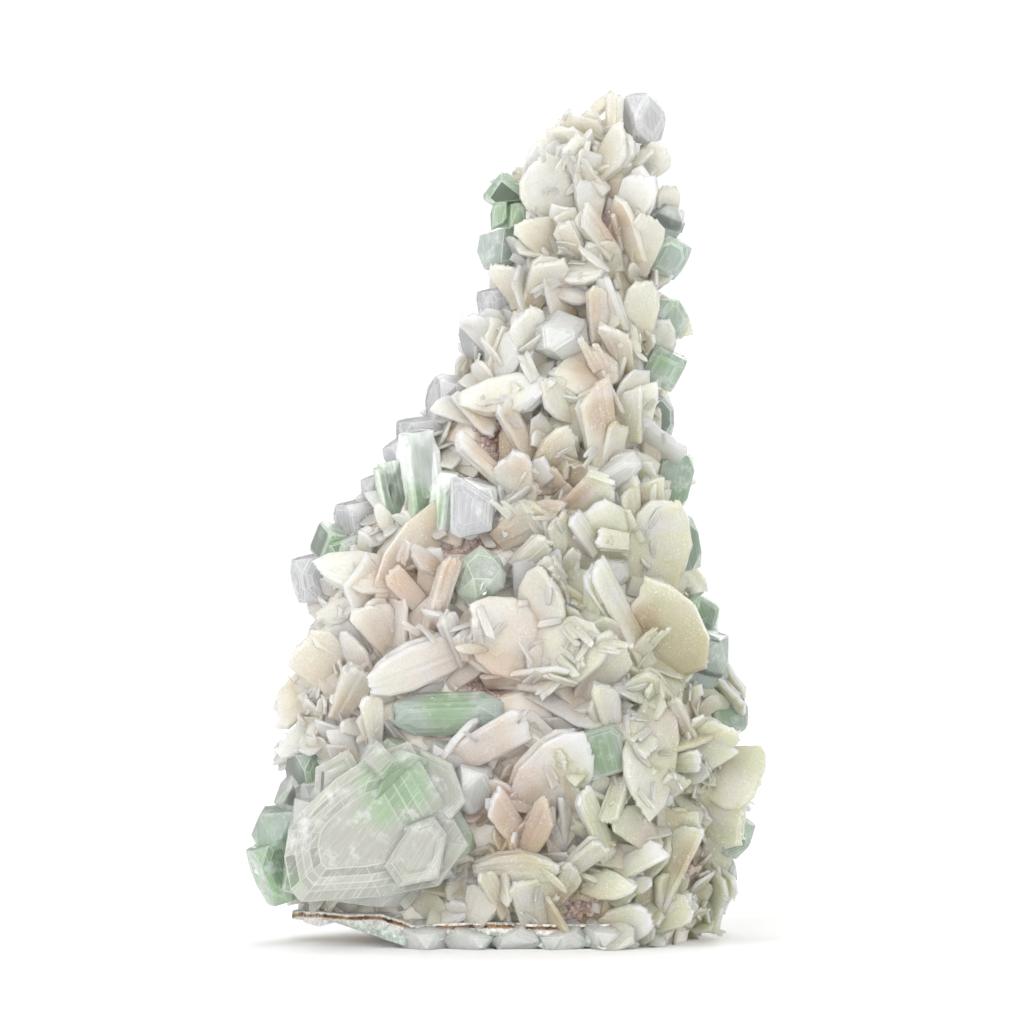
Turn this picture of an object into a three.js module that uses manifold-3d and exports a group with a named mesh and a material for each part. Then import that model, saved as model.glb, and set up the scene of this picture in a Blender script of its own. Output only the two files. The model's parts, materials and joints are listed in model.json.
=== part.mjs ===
// Apophyllite on stilbite: a standing spire of cream stilbite blades grown over rock,
// with pale green apophyllite crystals seated among the blades.
// Millimetres, +Z up. The front faces -Y and the base is cut flat at Z = 0.
import * as THREE from 'three';
import { ConvexGeometry } from 'three/addons/geometries/ConvexGeometry.js';
import { mergeVertices } from 'three/addons/utils/BufferGeometryUtils.js';
import Module from 'manifold-3d';

const wasm = await Module();
wasm.setup();

// ---------- driving dimensions ----------
const HEIGHT = 212;
const SEAT_GAP = 0.3;
const BODY_POINTS = 10;
const BODY_ROUNDNESS = 2.5;
const BODY_ROUGHNESS = 0.07;
const PYRAMID_SLOPE = THREE.MathUtils.degToRad(60.3);

// The rock and the roots of the blades: height, left, right, front, back.
const BODY_SECTIONS = [
  [-4, -20, 46, -22, 25],
  [7, -50, 49, -26, 27],
  [18, -52, 51, -27, 28],
  [44, -50, 57, -28, 28],
  [62, -50, 54, -27, 26],
  [88, -45, 44, -23, 23],
  [102, -39, 42, -21, 21],
  [124, -22, 37, -17, 19],
  [150, -5, 37, -14, 16],
  [165, 0, 38, -12, 14],
  [182, 1, 36, -11, 12],
  [193, 7, 34, -9, 10],
  [202, 20, 32, -6, 7],
];

// Plate outlines, root at -0.5 and tip at +0.5 of the length.
const FORMS = {
  bar: [[-0.5, -0.4], [0.5, -0.5], [0.38, 0.5], [-0.5, 0.4]],
  fan: [[-0.5, 0], [0.16, -0.5], [0.5, -0.2], [0.44, 0.3], [0.08, 0.5]],
  lens: [[-0.5, 0], [0.05, -0.5], [0.5, 0], [-0.05, 0.5]],
  shield: [[-0.5, 0], [-0.14, -0.5], [0.4, -0.4], [0.5, 0.1], [0.06, 0.5]],
  wedge: [[-0.5, -0.5], [0.42, -0.24], [0.42, 0.24], [-0.5, 0.5]],
};

// The leading blades of the front. x and z of the middle, length and width as seen
// from the front, thickness, direction from +X, turn about the length, lean of the
// tip towards the front, rise over the body, form.
const LEADING_BLADES = [
  // spire
  [27.2, 205, 12, 4, 2.6, 90, 20, 5, 2, 'bar'],
  [20.6, 201, 11, 8, 3, 112, -15, 25, 3, 'fan'],
  [26, 194.5, 15, 7.5, 2.8, 52, -25, 35, 4.5, 'fan'],
  [18.2, 193, 13, 7, 2.8, 108, 25, 35, 4.5, 'fan'],
  [35, 193.5, 14, 7.5, 2.8, 33, 20, 30, 3, 'fan'],
  [36, 203, 11, 7, 3, 60, -20, 15, 1, 'fan'],
  [10.4, 186.5, 17, 12, 3.4, 108, 10, 22, 2.5, 'shield'],
  [22.8, 175.8, 13, 5.5, 2.6, 128, 35, 30, 5, 'bar'],
  [31.6, 182.5, 17, 9, 2.8, 62, -25, 30, 4, 'fan'],
  [34.6, 173, 15, 8, 2.8, 78, 25, 30, 4, 'fan'],
  [9, 174.6, 12, 9, 3, 125, 15, 25, 2, 'fan'],
  // shoulder of the spire
  [2.6, 163, 12, 8, 2.8, 115, -20, 18, 1, 'fan'],
  [9.2, 163.6, 13, 8, 2.8, 62, 25, 35, 4, 'fan'],
  [19.4, 165.4, 12, 5.5, 3, 4, -35, 20, 4.5, 'lens'],
  [23, 156, 13, 5.5, 2.6, 92, 35, 20, 4, 'bar'],
  [33.4, 157, 15, 8.5, 3, 78, 20, 22, 3, 'shield'],
  [38, 166.4, 11, 7.5, 2.8, 50, -20, 18, 1, 'fan'],
  [36.8, 148.6, 14, 10, 3, 72, 20, 20, 1.5, 'shield'],
  [20.2, 141.4, 16, 12, 4.5, 175, 20, 10, 2, 'lens'],
  [-3, 150.4, 14, 9, 3, 122, -20, 15, 0.5, 'fan'],
  [6.4, 149, 15, 9, 3, 105, 20, 32, 4, 'fan'],
  [0.6, 135.8, 23, 9, 3.4, 6, -20, 14, 5, 'lens'],
  [13.8, 134.6, 13, 9, 3, 128, 25, 25, 4.5, 'lens'],
  [23.4, 126.4, 24, 8.5, 3, 100, 30, 14, 5, 'bar'],
  [36.2, 126.4, 14, 5, 2.8, 92, 20, 14, 2.5, 'bar'],
  [2.8, 127, 16, 5, 2.6, 118, 35, 22, 4.5, 'bar'],
  [-6, 120, 15.5, 3.8, 3.2, 138, 40, 20, 4.5, 'bar'],
  [12.8, 120.6, 14, 10, 3.2, 52, 25, 25, 2.5, 'shield'],
  [3.2, 115.4, 12, 9.5, 3, 112, -25, 25, 2.5, 'fan'],
  // waist
  [4.6, 104, 15, 10, 3.4, 30, 20, 30, 3, 'fan'],
  [12.4, 90.2, 13, 5, 2.8, 118, -35, 32, 5.5, 'bar'],
  [20, 110.4, 15, 10, 3.2, 35, 25, 25, 3, 'fan'],
  [28.6, 113, 13, 8.5, 3, 68, -20, 22, 3, 'fan'],
  [36, 107, 17, 4.4, 2.8, 88, -35, 15, 3.5, 'bar'],
  [37.4, 97, 27, 15, 3.6, 78, 22, 14, 2.5, 'shield'],
  [38.6, 77, 23, 20, 3.8, 118, -20, 22, 4.5, 'shield'],
  [28.6, 81, 30, 6, 3, 118, 40, 16, 6, 'bar'],
  [-33, 91.4, 27, 10, 3.4, 174, 24, 12, 3.5, 'lens'],
  [-15.6, 86.6, 20, 4.6, 3, 74, 30, 18, 5.5, 'bar'],
  [-31, 78.6, 13, 10, 3.4, 118, 20, 28, 3, 'fan'],
  // the wide middle
  [-44, 69, 17, 13, 3.4, 128, -20, 20, 2, 'fan'],
  [-51, 61, 15, 9.5, 3.4, 222, 15, 8, 0.5, 'wedge'],
  [-38, 62.6, 14, 8, 3, 60, 25, 32, 3.5, 'fan'],
  [-20.6, 70, 27, 10, 3.4, 200, -26, 14, 5, 'shield'],
  [1.6, 75.4, 23, 17, 4.4, 152, 15, 18, 4, 'shield'],
  [13.6, 72, 24, 15, 4.4, 20, -18, 20, 4.5, 'shield'],
  [23.6, 68.6, 18, 11, 3.6, 58, 25, 25, 5, 'fan'],
  [9.4, 83.6, 17, 12, 3.8, 72, -20, 26, 4, 'shield'],
  [-3.4, 51.4, 21, 8.5, 3.2, 30, 25, 22, 4.5, 'bar'],
  [25.2, 58, 15, 6.5, 3.4, 102, 30, 28, 6, 'fan'],
  [31.6, 52.6, 13, 5.6, 3.2, -44, -30, 20, 5.5, 'bar'],
  [35.4, 63.4, 12, 9, 3.2, 150, -25, 24, 4.5, 'fan'],
  [12.6, 43.4, 22, 15, 3.8, 38, 22, 20, 4.5, 'shield'],
  [35.4, 47.4, 26, 13, 3.8, 256, -20, 15, 5, 'shield'],
  [54, 42, 20, 16, 3.6, -12, -22, 12, 1.5, 'fan'],
  [52, 33, 17, 11, 3.4, -34, 24, 16, 2.5, 'fan'],
  [49, 50.6, 15, 9, 3.2, 30, 26, 20, 2.5, 'fan'],
  [43.2, 56, 12, 6, 2.8, 116, -35, 24, 4, 'bar'],
  [-32.4, 56, 13, 5.6, 2.8, 96, 30, 22, 5, 'fan'],
  // foot
  [0.6, 31.4, 14, 6.5, 3, 124, 30, 28, 4.5, 'bar'],
  [7.6, 27.6, 18, 6.5, 3, 64, -28, 24, 5, 'fan'],
  [22, 30.6, 18, 5, 3, 112, 35, 22, 6, 'bar'],
  [32.6, 28.8, 14, 8.5, 3, 134, 24, 25, 4.5, 'fan'],
  [42, 20, 22, 7, 3, 66, -28, 15, 4, 'bar'],
  [51.4, 16, 21, 9, 3.4, 76, 24, 10, 1.5, 'shield'],
  [3.2, 20.2, 21, 7.5, 3.2, 2, 22, 18, 5.5, 'lens'],
  [7, 11.6, 13, 11, 3.4, 92, 18, 28, 4, 'fan'],
  [25.4, 15.4, 13, 7, 3.2, 6, -24, 20, 4.5, 'lens'],
  [30.2, 6.4, 13, 8.5, 3.4, 10, 15, 18, 4, 'shield'],
];

// How far a leading blade's keel lies behind the surface, and its shift to the root.
const KEEL_DEPTH = 3;
const KEEL_SHIFT = 0.16;
// The share of its length and width that a blade's front face keeps.
const FACE_LENGTH = 0.94;
const FACE_WIDTH = 0.84;

// Broad blades round the sides and back: how many, the spans of their length, width
// and splay from straight out, their thickness and how deep their middles lie.
const FILL = { count: 42, length: [18, 26], width: [12, 18], thick: 5, splay: [38, 66], sink: 1.5 };

// Irrational steps that spread repeated pieces evenly with no pattern, one per use.
const STEPS = {
  up: 0.7548776662,
  round: 0.569840291,
  side: 0.4142135624,
  splay: 0.2360679775,
  roll: 0.7320508076,
  length: 0.6457513111,
  width: 0.3166247904,
  depth: 0.6180339887,
};

// ---------- crystals ----------
// Each crystal: x, y, z of its middle, breadth, depth, height, direction of its
// c axis from +X in the front plane, lean towards the front, turn about the axis,
// and the share of a corner that the pyramid faces cut away.
const CRYSTALS = {
  apophyllite_tip: [
    [34.6, -3, 205, 8.6, 8.6, 12.4, 96, 6, 25, 0.5],
  ],
  apophyllite_left_column: [
    [1.4, -4, 186.6, 9, 9, 8.6, 64, 18, 28, 0.18],
    [2.8, -3, 180.4, 9.4, 9, 8.6, 92, 8, 12, 0.16],
    [0, -2, 172, 11, 10, 10.4, 95, 4, 8, 0.14],
  ],
  apophyllite_pyramid: [
    [14, -17.5, 150.4, 10.5, 10, 13, 186, 32, 45, 0.62],
  ],
  apophyllite_left_ledge: [
    [-1, -2, 158, 9, 9, 9.6, 100, 6, 15, 0.2],
    [-5.6, -1, 150.4, 8, 8, 9, 104, 5, 30, 0.25],
  ],
  apophyllite_lilac_shelf: [
    [-12.6, -5, 134.4, 11, 10, 11.4, 78, 14, 24, 0.3],
    [-20.6, -4, 126.2, 11, 10, 8, 96, 8, 10, 0.25],
    [-25, -3, 121.2, 7, 7, 8, 120, 6, 30, 0.25],
  ],
  apophyllite_prism_group: [
    [-20.4, -13.5, 113.6, 8.6, 8, 27, 97, 6, 22, 0.5],
    [-14.4, -16.5, 107.4, 7, 6.6, 19, 84, 10, 40, 0.55],
    [-26.6, -10.5, 109, 7.4, 7, 20, 103, 4, 10, 0.5],
    [-7.8, -18, 108, 9.4, 8, 14, 70, 16, 20, 0.45],
  ],
  apophyllite_left_edge: [
    [-31.2, -3, 111.4, 6.4, 7, 9.6, 108, 4, 20, 0.4],
    [-35.6, -3, 105, 10, 9.6, 9.6, 100, 6, 30, 0.2],
    [-42.4, -4, 99, 8, 8, 8, 68, 16, 30, 0.12],
    [-47.2, -2, 90.6, 9.4, 9.4, 11, 100, 5, 20, 0.3],
  ],
  apophyllite_well_formed: [
    [-5.6, -24.6, 91, 12, 12, 17, 93, -26, 40, 0.42],
  ],
  apophyllite_sparkling_bar: [
    [27.4, -20.6, 116.6, 5, 5, 14, 32, 12, 30, 0.5],
  ],
  apophyllite_right_top: [
    [39.4, 1, 180, 9, 9, 8.4, 70, 4, 20, 0.35],
    [40.4, 0, 171.4, 9, 9, 9.4, 60, 5, 15, 0.25],
  ],
  apophyllite_right_shoulder: [
    [40, 0, 155.4, 9, 9, 9.6, 84, 4, 30, 0.35],
  ],
  apophyllite_right_wedge: [
    [39.4, -2, 143.4, 9, 9, 9, 62, 8, 10, 0.16],
  ],
  apophyllite_right_grey: [
    [37, 1, 130.6, 8.4, 9, 10.6, 92, 4, 20, 0.3],
  ],
  apophyllite_right_waist: [
    [41, 0, 115.4, 9, 9, 14, 76, 6, 25, 0.3],
  ],
  apophyllite_right_green: [
    [43.4, -1, 98.8, 9, 9, 13, 100, 4, 15, 0.35],
  ],
  apophyllite_dome: [
    [47.6, -3, 81, 10, 10, 9.6, 110, 6, 30, 0.45],
    [46.6, -9, 70.4, 14, 15, 18, 66, 14, 35, 0.5],
    [54.2, -4, 57, 9.6, 9.6, 12, 118, 6, 30, 0.4],
  ],
  apophyllite_right_point: [
    [58.4, 0, 43.4, 10, 10, 8.6, 80, 4, 20, 0.3],
  ],
  apophyllite_right_foot: [
    [56, 1, 27, 10, 10, 10, 60, 4, 15, 0.35],
    [52, 2, 17.4, 10, 9, 9, 110, 4, 15, 0.3],
  ],
  apophyllite_corner: [
    [-55.2, -8, 27.4, 12, 12, 12, 96, 10, 38, 0.5],
    [-54, -6, 18.8, 15, 14, 15, 112, 5, 15, 0.25],
  ],
  apophyllite_left_dark: [
    [-47.4, -9, 42.4, 10, 10, 11, 100, 8, 30, 0.3],
  ],
  apophyllite_great_group: [
    [-37.6, -24, 23.4, 31, 15, 23, 82, 4, 6, 0.14],
    [-25.6, -29, 39.4, 16, 12, 21, 66, 16, 28, 0.34],
    [-18.4, -33, 25, 11, 10.5, 16, 110, 24, 45, 0.5],
    [-18, -30, 32.4, 13, 8, 24, 118, 12, 14, 0.3],
    [-8, -28, 39.6, 8.6, 8, 11, 76, 18, 28, 0.45],
  ],
  apophyllite_long_bar: [
    [-13.6, -27.4, 57.6, 8, 7, 27, 2, 6, 34, 0.55],
  ],
  apophyllite_green_patch: [
    [23.4, -32, 48.4, 11, 5, 11.6, 104, 14, 12, 0.22],
  ],
  apophyllite_back_high: [
    [22, 12, 176, 12, 10, 13, 80, -14, 20, 0.25],
    [30, 13, 166, 11, 11, 11, 110, -10, 35, 0.2],
  ],
  apophyllite_back_shoulder: [
    [2, 17, 140, 14, 12, 15, 96, -16, 30, 0.3],
    [13, 19, 131, 13, 11, 13, 70, -12, 15, 0.2],
  ],
  apophyllite_back_right: [
    [33, 20, 104, 14, 13, 17, 104, -12, 24, 0.3],
    [29, 23, 91, 13, 12, 13, 74, -16, 38, 0.22],
  ],
  apophyllite_back_left: [
    [-27, 22, 84, 15, 13, 17, 82, -14, 32, 0.3],
  ],
  apophyllite_back_low: [
    [22, 30, 47, 17, 14, 19, 96, -12, 30, 0.28],
    [35, 26, 37, 14, 13, 14, 66, -14, 16, 0.2],
  ],
  apophyllite_back_foot: [
    [-29, 28, 27, 16, 13, 18, 104, -12, 22, 0.3],
    [-40, 24, 19, 13, 12, 13, 72, -10, 34, 0.2],
  ],
};

// The row of small crystals under the front edge of the base: count and span.
const BASE_ROW = { count: 5, from: -19, to: 25, front: -24.5, breadth: 11, height: 9 };

// ---------- shared helpers ----------
const radians = THREE.MathUtils.degToRad;
const fraction = (value) => value - Math.floor(value);
const between = ([low, high], share) => low + (high - low) * share;
const even = (index, step) => fraction(0.5 + index * step);

function toSolid(geometry) {
  geometry.deleteAttribute('normal');
  geometry.deleteAttribute('uv');
  const merged = mergeVertices(geometry, 1e-4);
  const mesh = new wasm.Mesh({
    numProp: 3,
    vertProperties: Float32Array.from(merged.attributes.position.array),
    triVerts: Uint32Array.from(merged.index.array),
  });
  return new wasm.Manifold(mesh);
}

function toGeometry(solid) {
  const { numProp, vertProperties, triVerts } = solid.getMesh();
  const positions = new Float32Array((vertProperties.length / numProp) * 3);
  for (let i = 0; i < positions.length / 3; i += 1) {
    positions.set(vertProperties.subarray(i * numProp, i * numProp + 3), i * 3);
  }
  const geometry = new THREE.BufferGeometry();
  geometry.setAttribute('position', new THREE.BufferAttribute(positions, 3));
  geometry.setIndex(new THREE.BufferAttribute(Uint32Array.from(triVerts), 1));
  geometry.computeVertexNormals();
  return geometry;
}

function largestBody(solid) {
  const bodies = solid.decompose();
  return bodies.reduce((best, body) => (body.volume() > best.volume() ? body : best));
}

// The section of the body at a height, blended between the listed ones.
function sectionAt(z) {
  const above = BODY_SECTIONS.findIndex((section) => section[0] > z);
  const upper = above < 0 ? BODY_SECTIONS.length - 1 : Math.max(above, 1);
  const [low, high] = [BODY_SECTIONS[upper - 1], BODY_SECTIONS[upper]];
  const share = THREE.MathUtils.clamp((z - low[0]) / (high[0] - low[0]), 0, 1);
  const [, left, right, front, back] = low.map((value, i) => value + (high[i] - value) * share);
  return { x: (left + right) / 2, y: (front + back) / 2, a: (right - left) / 2, b: (back - front) / 2 };
}

function bodyPoint(z, angle) {
  const { x, y, a, b } = sectionAt(z);
  const [c, s] = [Math.cos(angle), Math.sin(angle)];
  const power = 2 / BODY_ROUNDNESS;
  return new THREE.Vector3(
    x + a * Math.sign(c) * Math.abs(c) ** power,
    y + b * Math.sign(s) * Math.abs(s) ** power,
    z,
  );
}

function frontOfBody(x, z) {
  const section = sectionAt(z);
  const across = Math.min(Math.abs((x - section.x) / section.a), 1);
  return section.y - section.b * (1 - across ** BODY_ROUNDNESS) ** (1 / BODY_ROUNDNESS);
}

// Local X runs along the length, Y across it and Z out of the broad face.
function facingFront(direction, lean, turn) {
  return new THREE.Matrix4()
    .makeRotationX(Math.PI / 2)
    .multiply(new THREE.Matrix4().makeRotationZ(radians(direction)))
    .multiply(new THREE.Matrix4().makeRotationY(-radians(lean)))
    .multiply(new THREE.Matrix4().makeRotationX(radians(turn)));
}

// ---------- the body of rock ----------
function bodySolid() {
  const positions = [];
  const index = [];
  const levels = BODY_SECTIONS.length;
  for (const [z] of BODY_SECTIONS) {
    for (let i = 0; i < BODY_POINTS; i += 1) {
      const angle = ((i + 0.3 * even(i + z, STEPS.up)) / BODY_POINTS) * 2 * Math.PI;
      const point = bodyPoint(z, angle);
      const lump = 1 - BODY_ROUGHNESS * even(i * 3 + z, STEPS.round);
      positions.push(point.x * lump + (1 - lump) * sectionAt(z).x, point.y * lump, z);
    }
  }
  for (let level = 0; level < levels - 1; level += 1) {
    for (let i = 0; i < BODY_POINTS; i += 1) {
      const next = (i + 1) % BODY_POINTS;
      const [a, b] = [level * BODY_POINTS + i, level * BODY_POINTS + next];
      index.push(a, b, b + BODY_POINTS, a, b + BODY_POINTS, a + BODY_POINTS);
    }
  }
  const top = (levels - 1) * BODY_POINTS;
  for (let i = 1; i < BODY_POINTS - 1; i += 1) {
    index.push(0, i + 1, i);
    index.push(top, top + i, top + i + 1);
  }
  const geometry = new THREE.BufferGeometry();
  geometry.setAttribute('position', new THREE.BufferAttribute(new Float32Array(positions), 3));
  geometry.setIndex(index);
  return toSolid(geometry);
}

// ---------- stilbite ----------
// A plate that thins to its back, with a keel point that roots it in the body.
function plateSolid(form, length, width, thick, place, keel) {
  const points = [];
  for (const [along, across] of FORMS[form]) {
    points.push(new THREE.Vector3(along * length, across * width, -thick / 2));
    points.push(new THREE.Vector3(along * length * FACE_LENGTH, across * width * FACE_WIDTH, thick / 2));
  }
  points.forEach((point) => point.applyMatrix4(place));
  return toSolid(new ConvexGeometry(keel ? [...points, keel] : points));
}

function leadingBlade([x, z, length, width, thick, direction, turn, lean, rise, form]) {
  const place = facingFront(direction, lean, turn);
  const surface = frontOfBody(x, z);
  place.setPosition(x, surface - rise, z);
  const back = -KEEL_SHIFT * length;
  const keelX = x + back * Math.cos(radians(direction));
  const keelZ = z + back * Math.sin(radians(direction));
  const keel = new THREE.Vector3(keelX, surface + KEEL_DEPTH, keelZ);
  return plateSolid(form, length / Math.cos(radians(lean)), width, thick, place, keel);
}

// One blade standing out of the body at a height and an angle round it.
function fillBlade(index, z, angle) {
  const root = bodyPoint(z, angle);
  const ahead = bodyPoint(z, angle + 0.05).sub(root).normalize();
  const outward = new THREE.Vector3(ahead.y, -ahead.x, 0);
  const side = Math.PI * 2 * even(index, STEPS.side);
  const splay = radians(between(FILL.splay, even(index, STEPS.splay)));
  const spread = ahead.clone().multiplyScalar(Math.cos(side));
  spread.z += Math.sin(side);
  const along = outward.clone().multiplyScalar(Math.cos(splay));
  along.addScaledVector(spread, Math.sin(splay)).normalize();
  const roll = Math.PI * even(index, STEPS.roll);
  const faceUp = new THREE.Vector3(0, 0, 1).applyAxisAngle(along, roll);
  const across = new THREE.Vector3().crossVectors(faceUp, along).normalize();
  const face = new THREE.Vector3().crossVectors(along, across);
  const length = between(FILL.length, even(index, STEPS.length));
  const width = between(FILL.width, even(index, STEPS.width));
  const place = new THREE.Matrix4().makeBasis(along, across, face);
  place.setPosition(root.addScaledVector(outward, -FILL.sink));
  const form = ['bar', 'fan', 'bar', 'shield'][index % 4];
  return plateSolid(form, length, width, FILL.thick, place);
}

// An angle from the right edge, round the back, to the left edge, nearly even in arc.
function roundTheBack(share) {
  const across = Math.acos(THREE.MathUtils.clamp(1 - 2.1 * (share - 0.024), -1, 1));
  return 0.6 * across + 0.4 * Math.PI * between([-0.12, 1.12], share);
}

function fillBlades() {
  const blades = [];
  for (let i = 0; i < FILL.count; i += 1) {
    const z = between([4, HEIGHT - 14], even(i, STEPS.up) ** 1.25);
    blades.push(fillBlade(i, z, roundTheBack(even(i, STEPS.round))));
  }
  return blades;
}

// ---------- apophyllite ----------
// The corner points of the space inside a set of flat faces.
function cornersInside(planes) {
  const corners = [];
  const cross = new THREE.Vector3();
  for (let i = 0; i < planes.length; i += 1) {
    for (let j = i + 1; j < planes.length; j += 1) {
      for (let k = j + 1; k < planes.length; k += 1) {
        const [p, q, r] = [planes[i], planes[j], planes[k]];
        const volume = p.normal.dot(cross.crossVectors(q.normal, r.normal));
        if (Math.abs(volume) > 1e-6) {
          const corner = new THREE.Vector3().crossVectors(q.normal, r.normal).multiplyScalar(p.away);
          corner.addScaledVector(cross.crossVectors(r.normal, p.normal), q.away);
          corner.addScaledVector(cross.crossVectors(p.normal, q.normal), r.away);
          corner.divideScalar(volume);
          if (planes.every(({ normal, away }) => normal.dot(corner) < away + 1e-4)) {
            corners.push(corner);
          }
        }
      }
    }
  }
  return corners;
}

// A square prism along local X whose four end corners are cut by pyramid faces.
function crystalSolid([x, y, z, breadth, depth, height, direction, lean, turn, cut]) {
  const planes = [];
  const face = (nx, ny, nz, away) => {
    planes.push({ normal: new THREE.Vector3(nx, ny, nz).normalize(), away });
  };
  face(1, 0, 0, height / 2);
  face(-1, 0, 0, height / 2);
  for (const sign of [-1, 1]) {
    face(0, sign, 0, breadth / 2);
    face(0, 0, sign, depth / 2);
  }
  const [rise, run] = [Math.cos(PYRAMID_SLOPE), Math.sin(PYRAMID_SLOPE) / Math.SQRT2];
  const corner = (rise * height + run * (breadth + depth)) / 2;
  for (const [v, w] of [[1, 1], [1, -1], [-1, 1], [-1, -1]]) {
    face(rise, run * v, run * w, corner - (cut * run * (breadth + depth)) / 2);
  }
  const place = facingFront(direction, lean, turn).setPosition(x, y, z);
  const corners = cornersInside(planes).map((corner) => corner.applyMatrix4(place));
  return toSolid(new ConvexGeometry(corners));
}

// The socket that a crystal sits in: its own square prism with the gap all round.
function seatSolid([x, y, z, breadth, depth, height, direction, lean, turn]) {
  const geometry = new THREE.BoxGeometry(height, breadth, depth);
  const gap = 2 * SEAT_GAP;
  geometry.scale((height + gap) / height, (breadth + gap) / breadth, (depth + gap) / depth);
  return toSolid(geometry.applyMatrix4(facingFront(direction, lean, turn).setPosition(x, y, z)));
}

function baseRow() {
  const row = [];
  for (let i = 0; i < BASE_ROW.count; i += 1) {
    const x = between([BASE_ROW.from, BASE_ROW.to], i / (BASE_ROW.count - 1));
    const y = BASE_ROW.front - 1.6 * even(i, STEPS.depth);
    const height = BASE_ROW.height * between([0.8, 1.2], even(i, STEPS.side));
    const direction = 60 + 60 * even(i, STEPS.roll);
    const turn = 90 * even(i, STEPS.splay);
    row.push([x, y, 1.4, BASE_ROW.breadth, BASE_ROW.breadth, height, direction, 20, turn, 0.35]);
  }
  return row;
}

// ---------- assembly ----------
const STILBITE = new THREE.MeshStandardMaterial({ color: 0xe2ddd0, roughness: 0.5, metalness: 0 });
const APOPHYLLITE = { roughness: 0.12, metalness: 0, transparent: true, opacity: 0.8 };
const PALE_GREEN = new THREE.MeshStandardMaterial({ color: 0xb4d2bf, ...APOPHYLLITE });

const cluster = new THREE.Group();

function addPiece(name, solid, material) {
  const mesh = new THREE.Mesh(toGeometry(solid), material);
  mesh.name = name;
  cluster.add(mesh);
}

const seats = [];
for (const [name, rows] of Object.entries(CRYSTALS)) {
  const joined = wasm.Manifold.union(rows.map(crystalSolid));
  addPiece(name, joined.trimByPlane([0, 0, 1], 0), PALE_GREEN);
  seats.push(...rows.map(seatSolid));
}

const blades = [...LEADING_BLADES.map(leadingBlade), ...fillBlades()];
const grown = wasm.Manifold.union([bodySolid(), ...blades, ...baseRow().map(crystalSolid)]);
const seated = grown.subtract(wasm.Manifold.union(seats)).trimByPlane([0, 0, 1], 0);
addPiece('matrix_with_stilbite', largestBody(seated), STILBITE);

export default cluster;
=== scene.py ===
"""The looks of an apophyllite and stilbite cluster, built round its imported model.

Rows of crystals and blades are in millimetres, as a collector would give them, and MM
turns them into the scene's metres. The front faces -Y and the cut base lies on Z = 0.
"""
import itertools
import json
import math
import random

import bmesh
import bpy
from mathutils import Euler, Matrix, Vector, noise
from mathutils.bvhtree import BVHTree

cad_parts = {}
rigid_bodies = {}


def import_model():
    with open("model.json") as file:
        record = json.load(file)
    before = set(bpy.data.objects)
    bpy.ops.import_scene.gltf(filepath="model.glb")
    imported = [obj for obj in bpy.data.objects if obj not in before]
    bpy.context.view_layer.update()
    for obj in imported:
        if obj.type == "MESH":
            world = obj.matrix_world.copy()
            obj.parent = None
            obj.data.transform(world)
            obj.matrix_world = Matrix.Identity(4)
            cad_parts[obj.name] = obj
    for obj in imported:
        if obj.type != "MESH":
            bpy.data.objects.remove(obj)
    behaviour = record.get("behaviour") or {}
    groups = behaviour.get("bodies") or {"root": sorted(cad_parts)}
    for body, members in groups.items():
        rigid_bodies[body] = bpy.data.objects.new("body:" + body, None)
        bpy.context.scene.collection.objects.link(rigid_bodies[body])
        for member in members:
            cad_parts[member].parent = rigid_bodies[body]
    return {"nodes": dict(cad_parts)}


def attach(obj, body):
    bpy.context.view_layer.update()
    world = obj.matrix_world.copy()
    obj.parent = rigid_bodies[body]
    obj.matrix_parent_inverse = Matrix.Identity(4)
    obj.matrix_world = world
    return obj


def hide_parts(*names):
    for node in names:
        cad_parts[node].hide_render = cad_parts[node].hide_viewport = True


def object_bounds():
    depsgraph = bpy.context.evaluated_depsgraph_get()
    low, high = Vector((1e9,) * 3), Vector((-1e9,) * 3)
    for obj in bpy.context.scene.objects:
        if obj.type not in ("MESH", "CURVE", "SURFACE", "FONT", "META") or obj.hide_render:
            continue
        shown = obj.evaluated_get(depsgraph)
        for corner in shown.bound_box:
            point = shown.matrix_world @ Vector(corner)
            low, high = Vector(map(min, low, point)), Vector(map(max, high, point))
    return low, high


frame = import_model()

CAD_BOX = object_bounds()
MM = 0.001

# ---------- the specimen's form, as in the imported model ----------
# The power of the curve round each section: 2 would be an ellipse.
BODY_ROUNDNESS = 2.5

# The rock and the roots of the blades: height, left, right, front, back.
BODY_SECTIONS = [
    (-4, -20, 46, -22, 25),
    (7, -50, 49, -26, 27),
    (18, -52, 51, -27, 28),
    (44, -50, 57, -28, 28),
    (62, -50, 54, -27, 26),
    (88, -45, 44, -23, 23),
    (102, -39, 42, -21, 21),
    (124, -22, 37, -17, 19),
    (150, -5, 37, -14, 16),
    (165, 0, 38, -12, 14),
    (182, 1, 36, -11, 12),
    (193, 7, 34, -9, 10),
    (202, 20, 32, -6, 7),
]

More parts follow.
